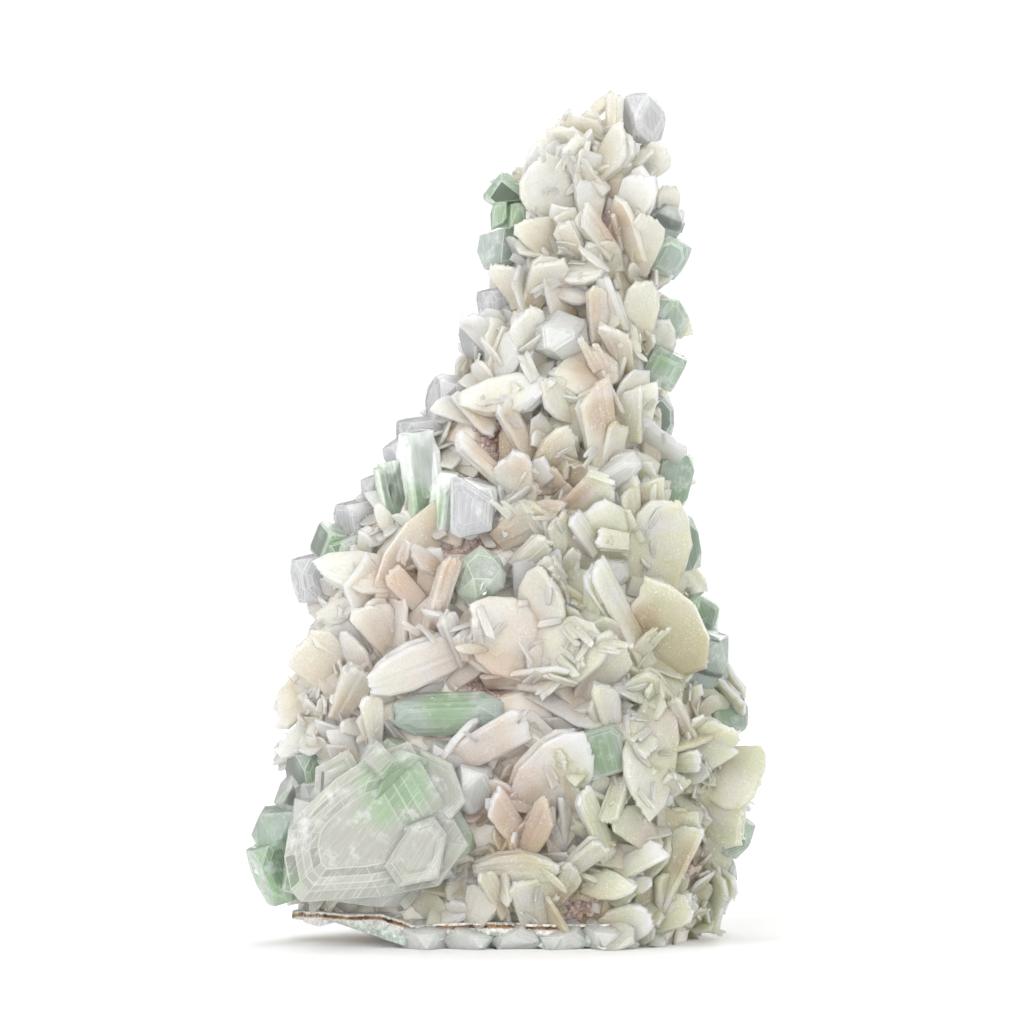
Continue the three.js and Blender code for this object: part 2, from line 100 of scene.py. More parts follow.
# Blades seen from the front, in groups from the top down. x and z of the middle, length
# and width as seen, thickness, direction from +X, turn about the length, lean of the tip
# towards the front, rise over the body, form.
BLADES = {
    "stilbite_spire": [
        (27.2, 205, 12, 4, 2.6, 90, 20, 5, 2, "bar"),
        (20.6, 201, 11, 8, 3, 112, -15, 25, 3, "fan"),
        (26, 194.5, 15, 7.5, 2.8, 52, -25, 35, 4.5, "fan"),
        (18.2, 193, 13, 7, 2.8, 108, 25, 35, 4.5, "fan"),
        (35, 193.5, 14, 7.5, 2.8, 33, 20, 30, 3, "fan"),
        (36, 203, 11, 7, 3, 60, -20, 15, 1, "fan"),
        (10.4, 186.5, 17, 12, 3.4, 108, 10, 22, 2.5, "shield"),
        (22.8, 175.8, 13, 5.5, 2.6, 128, 35, 30, 5, "bar"),
        (31.6, 182.5, 17, 9, 2.8, 62, -25, 30, 4, "fan"),
        (34.6, 173, 15, 8, 2.8, 78, 25, 30, 4, "fan"),
        (9, 174.6, 12, 9, 3, 125, 15, 25, 2, "fan"),
        (14.6, 198, 11, 5.5, 2.6, 112, 25, 10, 1, "fan"),
        (16.8, 173.6, 10.5, 5, 2.6, 122, -30, 40, 5.5, "bar"),
        (39.8, 181.5, 14, 6.5, 2.8, 82, 40, 12, 1, "fan"),
    ],
    "stilbite_shoulder": [
        (2.6, 163, 12, 8, 2.8, 115, -20, 18, 1, "fan"),
        (9.2, 163.6, 13, 8, 2.8, 62, 25, 35, 4, "fan"),
        (19.4, 165.4, 12, 5.5, 3, 4, -35, 20, 4.5, "lens"),
        (23, 156, 13, 5.5, 2.6, 92, 35, 20, 4, "bar"),
        (33.4, 157, 15, 8.5, 3, 78, 20, 22, 3, "shield"),
        (38, 166.4, 11, 7.5, 2.8, 50, -20, 18, 1, "fan"),
        (36.8, 148.6, 14, 10, 3, 72, 20, 20, 1.5, "shield"),
        (20.2, 141.4, 16, 12, 4.5, 175, 20, 10, 2, "lens"),
        (-3, 150.4, 14, 9, 3, 122, -20, 15, 0.5, "fan"),
        (6.4, 149, 15, 9, 3, 105, 20, 32, 4, "fan"),
        (0.6, 135.8, 23, 9, 3.4, 6, -20, 14, 5, "lens"),
        (13.8, 134.6, 13, 9, 3, 128, 25, 25, 4.5, "lens"),
        (23.4, 126.4, 24, 8.5, 3, 100, 30, 14, 5, "bar"),
        (36.2, 126.4, 14, 5, 2.8, 92, 20, 14, 2.5, "bar"),
        (2.8, 127, 16, 5, 2.6, 118, 35, 22, 4.5, "bar"),
        (-6, 120, 15.5, 3.8, 3.2, 138, 40, 20, 4.5, "bar"),
        (12.8, 120.6, 14, 10, 3.2, 52, 25, 25, 2.5, "shield"),
        (3.2, 115.4, 12, 9.5, 3, 112, -25, 25, 2.5, "fan"),
        (27, 158.6, 14, 4, 2.4, 112, -40, 22, 4.5, "bar"),
        (38.6, 117.6, 11, 6, 2.8, 78, 20, 14, 1, "fan"),
        (0.4, 143.6, 13, 7, 2.6, 60, -30, 30, 3, "fan"),
        (31.2, 131, 13, 6.5, 2.8, 92, -20, 20, 3, "bar"),
        (28.8, 147.4, 12, 6.5, 2.6, 112, -30, 32, 4.5, "fan"),
    ],
    "stilbite_waist": [
        (4.6, 104, 15, 10, 3.4, 30, 20, 30, 3, "fan"),
        (12.4, 90.2, 13, 5, 2.8, 118, -35, 32, 5.5, "bar"),
        (20, 110.4, 15, 10, 3.2, 35, 25, 25, 3, "fan"),
        (28.6, 113, 13, 8.5, 3, 68, -20, 22, 3, "fan"),
        (36, 107, 17, 4.4, 2.8, 88, -35, 15, 3.5, "bar"),
        (37.4, 97, 27, 15, 3.6, 78, 22, 14, 2.5, "shield"),
        (38.6, 77, 23, 20, 3.8, 118, -20, 22, 4.5, "shield"),
        (28.6, 81, 30, 6, 3, 118, 40, 16, 6, "bar"),
        (-33, 91.4, 27, 10, 3.4, 174, 24, 12, 3.5, "lens"),
        (-15.6, 86.6, 20, 4.6, 3, 74, 30, 18, 5.5, "bar"),
        (-31, 78.6, 13, 10, 3.4, 118, 20, 28, 3, "fan"),
        (9.4, 107, 12, 5, 2.8, 8, -40, 25, 5, "lens"),
        (6.6, 97, 10, 5, 2.8, 40, 25, 35, 5, "bar"),
        (26.4, 100, 8, 4.6, 3.2, 172, 15, 25, 5.5, "bar"),
        (22, 83, 13, 5, 2.8, 82, -30, 25, 4.5, "bar"),
        (-12, 76, 13, 4.6, 2.8, 112, 35, 28, 5, "bar"),
        (-40.6, 82, 11, 6, 3, 14, -25, 25, 3, "lens"),
        (13, 100.4, 12, 5.6, 2.8, 92, 35, 25, 5, "fan"),
        (19.4, 101.6, 11, 4.6, 2.8, 124, 35, 30, 5, "bar"),
        (31, 106.6, 13, 5, 2.8, 95, 35, 18, 4.5, "bar"),
        (-19.4, 94.6, 11, 4.6, 2.8, 142, 30, 25, 4.5, "lens"),
    ],
    "stilbite_middle": [
        (-44, 69, 17, 13, 3.4, 128, -20, 20, 2, "fan"),
        (-51, 61, 15, 9.5, 3.4, 222, 15, 8, 0.5, "wedge"),
        (-38, 62.6, 14, 8, 3, 60, 25, 32, 3.5, "fan"),
        (-20.6, 70, 27, 10, 3.4, 200, -26, 14, 5, "shield"),
        (1.6, 75.4, 23, 17, 4.4, 152, 15, 18, 4, "shield"),
        (13.6, 72, 24, 15, 4.4, 20, -18, 20, 4.5, "shield"),
        (23.6, 68.6, 18, 11, 3.6, 58, 25, 25, 5, "fan"),
        (9.4, 83.6, 17, 12, 3.8, 72, -20, 26, 4, "shield"),
        (-3.4, 51.4, 21, 8.5, 3.2, 30, 25, 22, 4.5, "bar"),
        (25.2, 58, 15, 6.5, 3.4, 102, 30, 28, 6, "fan"),
        (31.6, 52.6, 13, 5.6, 3.2, -44, -30, 20, 5.5, "bar"),
        (35.4, 63.4, 12, 9, 3.2, 150, -25, 24, 4.5, "fan"),
        (12.6, 43.4, 22, 15, 3.8, 38, 22, 20, 4.5, "shield"),
        (35.4, 47.4, 26, 13, 3.8, 256, -20, 15, 5, "shield"),
        (54, 42, 20, 16, 3.6, -12, -22, 12, 1.5, "fan"),
        (52, 33, 17, 11, 3.4, -34, 24, 16, 2.5, "fan"),
        (49, 50.6, 15, 9, 3.2, 30, 26, 20, 2.5, "fan"),
        (43.2, 56, 12, 6, 2.8, 116, -35, 24, 4, "bar"),
        (-32.4, 56, 13, 5.6, 2.8, 96, 30, 22, 5, "fan"),
        (10, 50, 13, 4.4, 2.8, -30, 40, 22, 6.5, "bar"),
        (44.4, 46, 8, 5, 3.2, 4, 20, 20, 3.5, "bar"),
        (39, 38.8, 12, 5.6, 2.8, 44, 35, 26, 5, "bar"),
        (-49, 49.6, 12, 9, 3.2, 172, 20, 10, 0.5, "fan"),
        (27.4, 36.6, 12, 5, 2.8, 250, 35, 24, 6, "bar"),
    ],
    "stilbite_foot": [
        (0.6, 31.4, 14, 6.5, 3, 124, 30, 28, 4.5, "bar"),
        (7.6, 27.6, 18, 6.5, 3, 64, -28, 24, 5, "fan"),
        (22, 30.6, 18, 5, 3, 112, 35, 22, 6, "bar"),
        (32.6, 28.8, 14, 8.5, 3, 134, 24, 25, 4.5, "fan"),
        (42, 20, 22, 7, 3, 66, -28, 15, 4, "bar"),
        (51.4, 16, 21, 9, 3.4, 76, 24, 10, 1.5, "shield"),
        (3.2, 20.2, 21, 7.5, 3.2, 2, 22, 18, 5.5, "lens"),
        (7, 11.6, 13, 11, 3.4, 92, 18, 28, 4, "fan"),
        (25.4, 15.4, 13, 7, 3.2, 6, -24, 20, 4.5, "lens"),
        (30.2, 6.4, 13, 8.5, 3.4, 10, 15, 18, 4, "shield"),
        (-2.4, 13.8, 12, 4.4, 2.8, 118, 30, 28, 5.5, "bar"),
        (19.2, 22.4, 13, 5, 2.8, 40, 35, 25, 5.5, "bar"),
        (14.6, 16, 11, 6, 2.8, 60, 25, 28, 4.5, "fan"),
        (51.6, 8, 12, 6, 3, 82, -20, 8, 1, "bar"),
        (32.8, 21.2, 15, 5.6, 2.8, 30, -30, 25, 5, "bar"),
        (-6, 10, 11, 8, 3.2, 70, -20, 24, 3, "fan"),
        (41, 7.4, 12, 7, 3.2, 30, -15, 18, 3, "fan"),
    ],
}

# Broad blades round the sides and back: how many, their heights and how much more of them
# stand low, the spans of their length, width and splay from straight out, their thickness
# and how deep they sink.
SIDE_BLADES = {"count": 42, "height": (4, 198), "lower": 1.25, "length": (18, 26),
               "width": (12, 18), "splay": (38, 66), "thick": 4.6, "sink": 1.5}
SIDE_FORMS = ("bar", "fan", "bar", "shield")
# Left of this x the body overhangs, and no broad blade stands lower than this height.
OVERHANG_X = -25
OVERHANG_Z = 14

# Irrational steps that spread repeated pieces evenly with no pattern, one per use.
STEPS = {
    "up": 0.7548776662,
    "round": 0.569840291,
    "side": 0.4142135624,
    "splay": 0.2360679775,
    "roll": 0.7320508076,
    "length": 0.6457513111,
    "width": 0.3166247904,
}

# Plate forms: the share of the length from the root, and the half widths left and right
# of the middle line as shares of the width.
FORMS = {
    "bar": ((0, 0.42, 0.42), (0.9, 0.5, 0.5), (1, 0.46, 0.24)),
    "fan": ((0, 0.24, 0.24), (0.66, 0.5, 0.44), (0.86, 0.47, 0.5), (1, 0.22, 0.34)),
    "lens": ((0, 0.18, 0.14), (0.3, 0.44, 0.42), (0.6, 0.5, 0.5), (0.86, 0.36, 0.3),
             (1, 0.12, 0.12)),
    "shield": ((0, 0.3, 0.22), (0.24, 0.47, 0.42), (0.62, 0.5, 0.5), (0.85, 0.36, 0.44),
               (1, 0.16, 0.26)),
    "wedge": ((0, 0.5, 0.5), (0.88, 0.38, 0.42), (1, 0.28, 0.2)),
    "slab": ((0, 0.5, 0.3), (0.16, 0.5, 0.46), (0.84, 0.44, 0.5), (1, 0.3, 0.5)),
}


# ---------- places on the specimen ----------
def even(index, step):
    return (0.5 + index * step) % 1


def between(span, share):
    return span[0] + (span[1] - span[0]) * share


def row_between(rows, at):
    """The row at a value of the first column, from the two rows on either side of it."""
    upper = max(1, next((i for i, row in enumerate(rows) if row[0] > at), len(rows) - 1))
    low, high = rows[upper - 1], rows[upper]
    share = min(max((at - low[0]) / (high[0] - low[0]), 0), 1)
    return [between(ends, share) for ends in zip(low, high)]


def section_at(z):
    """Middle and half sizes of the body at a height: x, y, a, b."""
    _, left, right, front, back = row_between(BODY_SECTIONS, z)
    return (left + right) / 2, (front + back) / 2, (right - left) / 2, (back - front) / 2


def body_point(z, angle):
    x, y, a, b = section_at(z)
    power = 2 / BODY_ROUNDNESS
    c, s = math.cos(angle), math.sin(angle)
    return Vector((
        x + a * math.copysign(abs(c) ** power, c),
        y + b * math.copysign(abs(s) ** power, s),
        z,
    ))


def front_of_body(x, z):
    middle, y, a, b = section_at(z)
    across = min(abs((x - middle) / a), 1)
    return y - b * (1 - across ** BODY_ROUNDNESS) ** (1 / BODY_ROUNDNESS)


def facing_front(direction, lean, turn):
    """Local X runs along the length, Y across it and Z out of the broad face."""
    return (
        Matrix.Rotation(math.pi / 2, 4, "X")
        @ Matrix.Rotation(math.radians(direction), 4, "Z")
        @ Matrix.Rotation(-math.radians(lean), 4, "Y")
        @ Matrix.Rotation(math.radians(turn), 4, "X")
    )


def turned_to(along, across):
    """The turn that brings X to along and Y to across."""
    return Matrix((along, across, along.cross(across))).transposed().to_4x4()


# ---------- node helpers ----------
def give(tree, node, inputs):
    """Fills a node's inputs. One given a socket is linked to it, and any other value is set."""
    for key, value in inputs.items():
        if isinstance(value, bpy.types.NodeSocket):
            tree.links.new(value, node.inputs[key])
        else:
            node.inputs[key].default_value = value


def add_node(tree, kind, settings=None, inputs=None):
    node = tree.nodes.new(kind)
    for name, value in (settings or {}).items():
        setattr(node, name, value)
    give(tree, node, inputs or {})
    return node


def new_material(name):
    """A new material, its node tree and its Principled shader."""
    material = bpy.data.materials.new(name)
    material.use_nodes = True
    return material, material.node_tree, material.node_tree.nodes["Principled BSDF"]


def stretched(tree, place, scale):
    return add_node(tree, "ShaderNodeMapping", inputs={"Vector": place, "Scale": scale}).outputs[0]


def object_place(tree):
    """Object coordinates in millimetres."""
    place = add_node(tree, "ShaderNodeTexCoord").outputs["Object"]
    return stretched(tree, place, [1 / MM] * 3)


def attribute(tree, name, output="Fac"):
    """What a mesh attribute holds."""
    return add_node(tree, "ShaderNodeAttribute", {"attribute_name": name}).outputs[output]


def grain_place(tree, scale):
    """A blade's or crystal's own coordinates in millimetres, stretched by scale."""
    return stretched(tree, attribute(tree, "grain", "Vector"), scale)


def noise_value(tree, place, scale, detail=2, roughness=0.5):
    made = add_node(tree, "ShaderNodeTexNoise", inputs={
        "Vector": place, "Scale": scale, "Detail": detail, "Roughness": roughness})
    return made.outputs["Fac"]


def remap(tree, value, low, high, to_low=0, to_high=1, smooth=True):
    settings = {"interpolation_type": "SMOOTHSTEP" if smooth else "LINEAR"}
    made = add_node(tree, "ShaderNodeMapRange", settings, {
        "Value": value, "From Min": low, "From Max": high, "To Min": to_low, "To Max": to_high})
    return made.outputs["Result"]


def math_node(tree, operation, a, b=0.0):
    return add_node(tree, "ShaderNodeMath", {"operation": operation}, {0: a, 1: b}).outputs[0]


def vector_math(tree, operation, a, b=(0, 0, 0)):
    """Vector maths. Operations that measure give a number, and the others a vector."""
    second = "Scale" if operation == "SCALE" else 1
    output = "Value" if operation in ("LENGTH", "DISTANCE", "DOT_PRODUCT") else "Vector"
    made = add_node(tree, "ShaderNodeVectorMath", {"operation": operation}, {0: a, second: b})
    return made.outputs[output]


def mix_colour(tree, share, first, second, blend="MIX"):
    made = add_node(tree, "ShaderNodeMix", {"data_type": "RGBA", "blend_type": blend},
                    {0: share, 6: first, 7: second})
    return made.outputs[2]


def brightened(tree, colour, value):
    inputs = {"Color": colour, "Value": value}
    return add_node(tree, "ShaderNodeHueSaturation", inputs=inputs).outputs[0]


def bump(tree, height, distance, strength, normal=None):
    inputs = {"Height": height, "Distance": distance * MM, "Strength": strength}
    if normal is not None:
        inputs["Normal"] = normal
    return add_node(tree, "ShaderNodeBump", inputs=inputs).outputs["Normal"]


# ---------- materials ----------
CREAM = (0.90, 0.87, 0.81, 1)
STRAW = (0.82, 0.83, 0.62, 1)
BLUSH = (0.91, 0.81, 0.74, 1)
LILAC = (0.86, 0.83, 0.88, 1)
# Painted shade: the tan that darkens each blade towards its root.
ROOT_SHADE_TAN = (0.95, 0.82, 0.69, 1)
# Painted highlight: the white of glints and rims.
PAINTED_GLINT_WHITE = (1, 1, 0.99, 1)
# Where blades are darker round the hollows, partly a reddish stain and partly painted shade: x, z
# and reach.
STAIN_AND_SHADE = (0.86, 0.74, 0.68, 1)
STAIN_AND_SHADE_SPOTS = (
    (17.8, 155, 8), (-2, 123, 13), (-12, 97, 12), (-26, 89, 11), (26, 178, 7), (34, 81, 7),
    (26, 131, 7), (-5, 63, 13), (-3, 38, 20), (19, 10, 10), (47, 20, 8), (14, 112, 9),
    (22, 143, 10), (6, 30, 12),
)
# The blush at the left and middle: its middle and how far it spreads each way.
BLUSH_MIDDLE = (-8, 0, 58)
BLUSH_SPREAD = (38, 60, 58)
# The stone: druse, packed roots, broken edge and rusty seam, each with its lighter and
# darker share.
DRUSE_PINK = (0.82, 0.68, 0.66, 1)
DRUSE_BROWN = (0.55, 0.41, 0.33, 1)
DRUSE_DARK = (0.22, 0.14, 0.09, 1)
ROOTS_CREAM = (0.90, 0.85, 0.78, 1)
ROOTS_TAN = (0.86, 0.78, 0.69, 1)
EDGE_WHITE = (0.84, 0.82, 0.80, 1)
EDGE_GREY = (0.60, 0.57, 0.54, 1)
EDGE_GREEN = (0.68, 0.75, 0.70, 1)
EDGE_DARK_GREEN = (0.40, 0.47, 0.41, 1)
RUST = (0.42, 0.27, 0.15, 1)
RUST_BLACK = (0.12, 0.08, 0.06, 1)
# The white of the veils on the crystals' faces and of the painted highlight on their edges, and
# the wisps inside them.
VEIL_AND_HIGHLIGHT_WHITE = (0.98, 0.99, 0.99, 1)
WISP_WHITE = (0.97, 0.98, 0.98, 1)


def stilbite_ground(tree, place):
    """The colours of the blades by their place on the specimen, with painted shade round the
    hollows, before their own shades.
    """
    from_middle = vector_math(tree, "SUBTRACT", place, BLUSH_MIDDLE)
    away = vector_math(tree, "LENGTH", vector_math(tree, "DIVIDE", from_middle, BLUSH_SPREAD))
    drift = remap(tree, noise_value(tree, place, 0.06, 3), 0.3, 0.7, -0.45, 0.45, smooth=False)
    straw = math_node(tree, "MULTIPLY",
                      remap(tree, math_node(tree, "ADD", away, drift), 0.5, 1.25),
                      remap(tree, towards_low_right(tree, place), -90, -10, 0.35, 1))
    cream = remap(tree, noise_value(tree, place, 0.1, 3), 0.45, 0.65, 0, 0.8)
    lilac = remap(tree, noise_value(tree, place, 0.075, 1), 0.58, 0.74, 0, 0.45)
    ground = mix_colour(tree, remap(tree, away, 1.3, 0.4), CREAM, BLUSH)
    ground = mix_colour(tree, straw, ground, STRAW)
    ground = mix_colour(tree, cream, ground, CREAM)
    # Painted shade round the hollows, with a reddish stain tone.
    ground = mix_colour(tree, near_spots(tree, place, STAIN_AND_SHADE_SPOTS, drift), ground, STAIN_AND_SHADE, "MULTIPLY")
    return mix_colour(tree, lilac, ground, LILAC)


def towards_low_right(tree, place):
    """A measure that grows from the upper left of the front to its lower right."""
    parts = add_node(tree, "ShaderNodeSeparateXYZ", inputs={0: place}).outputs
    return math_node(tree, "SUBTRACT", parts["X"], math_node(tree, "MULTIPLY", parts["Z"], 0.6))


def stilbite_glints(tree, place):
    """1 on the specks and streaks that glitter, less outside the glittery patches. They carry
    painted white highlights and tilt the coat.
    """
    specks = remap(tree, noise_value(tree, place, 2.2, 2), 0.6, 0.68)
    streaks = noise_value(tree, grain_place(tree, (0.45, 3.4, 1)), 1.0, 3, 0.7)
    glittery = remap(tree, noise_value(tree, place, 0.16, 3), 0.42, 0.6, 0.25, 1)
    glints = math_node(tree, "MAXIMUM", specks, remap(tree, streaks, 0.6, 0.68))
    return math_node(tree, "MULTIPLY", glints, glittery)


def stilbite_material():
    """Pearly, waxy plates: straw and cream, blush at the left and middle, lilac here and
    there, painted shade in tan at their roots and towards the lower right, painted white
    highlights at their rims and glints, and silky along each blade's length."""
    material, tree, shader = new_material("stilbite_pearl")
    place = object_place(tree)
    tint = attribute(tree, "tint")
    # Painted shade in tan towards each blade's root, and a painted white highlight on its rims.
    root = remap(tree, tint, 0.6, -0.3, 0, 0.75)
    rim_highlight = remap(tree, tint, 1.0, 1.35, 0, 0.8)
    # Painted shade: darker towards each blade's root and towards the lower right, lighter at its
    # tips and rims, as light falls from the upper left.
    depth = math_node(
        tree, "MULTIPLY", remap(tree, tint, 0, 1, 0.94, 1.06, smooth=False),
        remap(tree, towards_low_right(tree, place), -90, 10, 1.05, 0.87, smooth=False))
    silk = noise_value(tree, grain_place(tree, (0.1, 3.0, 1)), 1.0, 4, 0.6)
    fine = noise_value(tree, place, 1.6, 4, 0.7)
    mottle = remap(tree, fine, 0.3, 0.7, 0.88, 1.06, smooth=False)
    glints = stilbite_glints(tree, place)
    colour = mix_colour(tree, root, stilbite_ground(tree, place), ROOT_SHADE_TAN, "MULTIPLY")
    colour = brightened(tree, brightened(tree, colour, depth), mottle)
    # Painted highlights: white glints in specks and streaks, and white along the rims.
    colour = mix_colour(tree, rim_highlight, mix_colour(tree, glints, colour, PAINTED_GLINT_WHITE), PAINTED_GLINT_WHITE)
    normal = bump(tree, fine, 0.3, 0.6, bump(tree, silk, 0.08, 0.5))
    give(tree, shader, {
        "Base Color": colour,
        "Normal": normal,
        "Coat Normal": bump(tree, noise_value(tree, place, 1.3, 1), 0.8, glints, normal),
        "Roughness": remap(tree, fine, 0.3, 0.7, 0.32, 0.46),
        "IOR": 1.35,
        "Transmission Weight": 0.38,
        "Subsurface Weight": 0.9,
        "Subsurface Radius": (0.0036, 0.0034, 0.0031),
        "Subsurface Scale": 1.0,
        "Coat Weight": 0.8,
        "Coat Roughness": 0.06,
    })
    return material


def near_spots(tree, place, spots, drift):
    """1 near the middle of any spot of the front and 0 past its reach, with a ragged edge."""
    flat = vector_math(tree, "MULTIPLY", place, (1, 0, 1))
    most = 0.0
    for x, z, reach in spots:
        away = vector_math(tree, "DISTANCE", flat, (x, 0, z))
        away = math_node(tree, "SUBTRACT", away, math_node(tree, "MULTIPLY", drift, reach))
        most = math_node(tree, "MAXIMUM", most, remap(tree, away, reach, reach * 0.2))
    return most


def stone_patches(tree, place):
    return remap(tree, noise_value(tree, place, 0.2, 4, 0.65), 0.38, 0.64)


def brown_druse(tree, place):
    grains = remap(tree, noise_value(tree, place, 1.3, 3, 0.7), 0.4, 0.75, 0, 0.6)
    brown = mix_colour(tree, stone_patches(tree, place), DRUSE_BROWN, DRUSE_PINK)
    return mix_colour(tree, grains, brown, DRUSE_DARK)


def druse_material():
    """Brown to pinkish sparkling druse."""
    material, tree, shader = new_material("brown_druse")
    colour = brown_druse(tree, object_place(tree))
    give(tree, shader, {"Base Color": colour, "Roughness": 0.2, "Coat Weight": 0.5})
    return material


def rock_material():
    """The rock and blade roots: cream where blades are packed, brown druse in the hollows."""
    material, tree, shader = new_material("rock_and_roots")
    place = object_place(tree)
    packed = mix_colour(tree, stone_patches(tree, place), ROOTS_TAN, ROOTS_CREAM)
    hollow = remap(tree, attribute(tree, "druse_room"), 0.15, 0.7)
    give(tree, shader, {
        "Base Color": mix_colour(tree, hollow, packed, brown_druse(tree, place)),
        "Normal": bump(tree, noise_value(tree, place, 2.2, 4, 0.7), 0.3, 0.7),
        "Roughness": 0.38,
        "Subsurface Weight": 0.6,
        "Subsurface Radius": (0.003, 0.0026, 0.002),
        "Subsurface Scale": 1.0,
    })
    return material


def edge_material():
    """Grey-white broken rock with green druse below, and a rusty seam with black specks."""
    material, tree, shader = new_material("edge_rock")
    place = object_place(tree)
    parts = add_node(tree, "ShaderNodeSeparateXYZ", inputs={0: place}).outputs
    mottle = noise_value(tree, place, 0.9, 4, 0.7)
    grains = remap(tree, mottle, 0.35, 0.65)
    white = mix_colour(tree, grains, EDGE_GREY, EDGE_WHITE)
    green = mix_colour(tree, grains, EDGE_DARK_GREEN, EDGE_GREEN)
    height = math_node(tree, "ADD", attribute(tree, "height"), mottle)
    low = math_node(tree, "MULTIPLY", remap(tree, height, 1.3, 0.9),
                    remap(tree, parts["X"], -44, -34))
    ragged = remap(tree, mottle, 0.3, 0.7, -0.3, 0.3, smooth=False)
    level = math_node(tree, "ADD", attribute(tree, "over_seam"), ragged)
    seam = math_node(tree, "MULTIPLY", remap(tree, level, -0.6, -0.35),
                     remap(tree, level, 0.5, 0.3))
    specks = remap(tree, noise_value(tree, place, 0.35, 3), 0.45, 0.6)
    rust = mix_colour(tree, specks, RUST, RUST_BLACK)
    give(tree, shader, {
        "Base Color": mix_colour(tree, seam, mix_colour(tree, low, white, green), rust),
        "Normal": bump(tree, mottle, 0.5, 0.8),
        "Roughness": 0.5,
    })
    return material


def apophyllite_material(name, tint, density, milk, clearness, silky_from=0.58, glow=0.9):
    """Clear to green crystal: plain transmission, its own IOR, and absorption inside. Green
    gathers in clouds, and the faces are finely ribbed along the c axis. The lower silky_from
    is, the more of the ribs are white. Glow is the share of the milk that light goes into."""
    material, tree, shader = new_material(name)
    place = object_place(tree)
    noisy = noise_value(tree, place, 0.14, 4, 0.6)
    cloud = remap(tree, noisy, 0.3, 0.7, -0.25, 0.45, smooth=False)
    green = math_node(tree, "ADD", attribute(tree, "green"), cloud)
    green = math_node(tree, "MAXIMUM", remap(tree, green, 0.1, 1.3, 0, 0.8),
                      near_spots(tree, place, GREEN_SPOTS, cloud))
    ribs = noise_value(tree, grain_place(tree, (0.05, 1.7, 1.7)), 1.0, 4, 0.7)
    facet_shade = attribute(tree, "facet_shade")
    # Painted shade: each face at a brightness of its own, as if each caught the light differently,
    # and faces below 0 darkened as if seen through to shade.
    depth = math_node(tree, "MULTIPLY", remap(tree, facet_shade, 0, 1, 0.78, 1.08, smooth=False),
                      remap(tree, ribs, 0.35, 0.65, 0.9, 1.06, smooth=False))
    dark = remap(tree, facet_shade, -1, 0, 0.42, 1, smooth=False)
    depth = math_node(tree, "MULTIPLY", depth, dark)
    colour = brightened(tree, mix_colour(tree, green, milk, GREEN), depth)
    veils_and_highlights = remap(tree, noise_value(tree, place, 0.2, 5, 0.65), 0.5, 0.72, 0, 0.8)
    silky = remap(tree, ribs, silky_from, silky_from + 0.12, 0, 0.6)
    # Painted highlight: white on the bevelled edges, added to the real veils and silky ribs.
    highlit_edges = remap(tree, facet_shade, 1.2, 1.8, 0, 0.32)
    for white in (silky, highlit_edges):
        veils_and_highlights = math_node(tree, "MAXIMUM", veils_and_highlights, white)
    veils_and_highlights = math_node(tree, "MULTIPLY", veils_and_highlights, remap(tree, facet_shade, -1, -0.2))
    give(tree, shader, {
        "Base Color": mix_colour(tree, veils_and_highlights, colour, VEIL_AND_HIGHLIGHT_WHITE),
        "Normal": bump(tree, ribs, 0.2, 0.7),
        "Roughness": remap(tree, veils_and_highlights, 0, 1, 0.0, 0.18),
        "Transmission Weight": clearness,
        "Subsurface Weight": glow,
        "Subsurface Radius": (0.004, 0.0045, 0.0042),
        "Subsurface Scale": 1.0,
        "IOR": 1.535,
    })
    inside = add_node(tree, "ShaderNodeVolumeAbsorption",
                      inputs={"Color": tint, "Density": density})
    give(tree, tree.nodes["Material Output"], {"Volume": inside.outputs[0]})
    return material


def veil_material():
    """The white wisps inside the crystals, half clear."""
    material, tree, shader = new_material("apophyllite_veil")
    give(tree, shader, {"Base Color": WISP_WHITE, "Roughness": 0.25,
                        "Transmission Weight": 0.2, "IOR": 1.2})
    return material


STILBITE = stilbite_material()
DRUSE = druse_material()
ROCK = rock_material()
EDGE_ROCK = edge_material()
VEIL = veil_material()
GREEN = (0.48, 0.64, 0.43, 1)
WHITE_MILK = (0.97, 0.99, 0.95, 1)
SILKY_MILK = (0.93, 0.97, 0.95, 1)
GREEN_MILK = (0.66, 0.72, 0.69, 1)
WARM_MILK = (0.63, 0.63, 0.57, 1)
LILAC_MILK = (0.73, 0.73, 0.75, 1)
# Where green gathers in the crystals of the front: x, z and reach.
GREEN_SPOTS = (
    (-26, 40, 12), (-20, 108, 8), (-27, 104, 7), (2, 180.6, 6), (-58, 18, 9), (24, 48, 7),
    (-14, 59, 7), (-42, 98, 4), (48, 81, 6), (54, 57, 7), (38, 145, 5), (43, 110, 6),
)
# Absorption colour and density, milk and clearness.
CRYSTAL_GREEN = apophyllite_material(
    "apophyllite_green", (0.72, 0.93, 0.80, 1), 110, GREEN_MILK, 0.5)
CRYSTAL_PALE = apophyllite_material(
    "apophyllite_pale", (0.80, 0.94, 0.86, 1), 40, WHITE_MILK, 0.48)
CRYSTAL_SILKY = apophyllite_material(
    "apophyllite_silky", (0.86, 0.96, 0.90, 1), 30, SILKY_MILK, 0.15, silky_from=0.5, glow=0.4)
CRYSTAL_WARM = apophyllite_material(
    "apophyllite_milky", (0.90, 0.93, 0.84, 1), 40, WARM_MILK, 0.42)
CRYSTAL_LILAC = apophyllite_material(
    "apophyllite_lilac", (0.86, 0.88, 0.94, 1), 50, LILAC_MILK, 0.45)


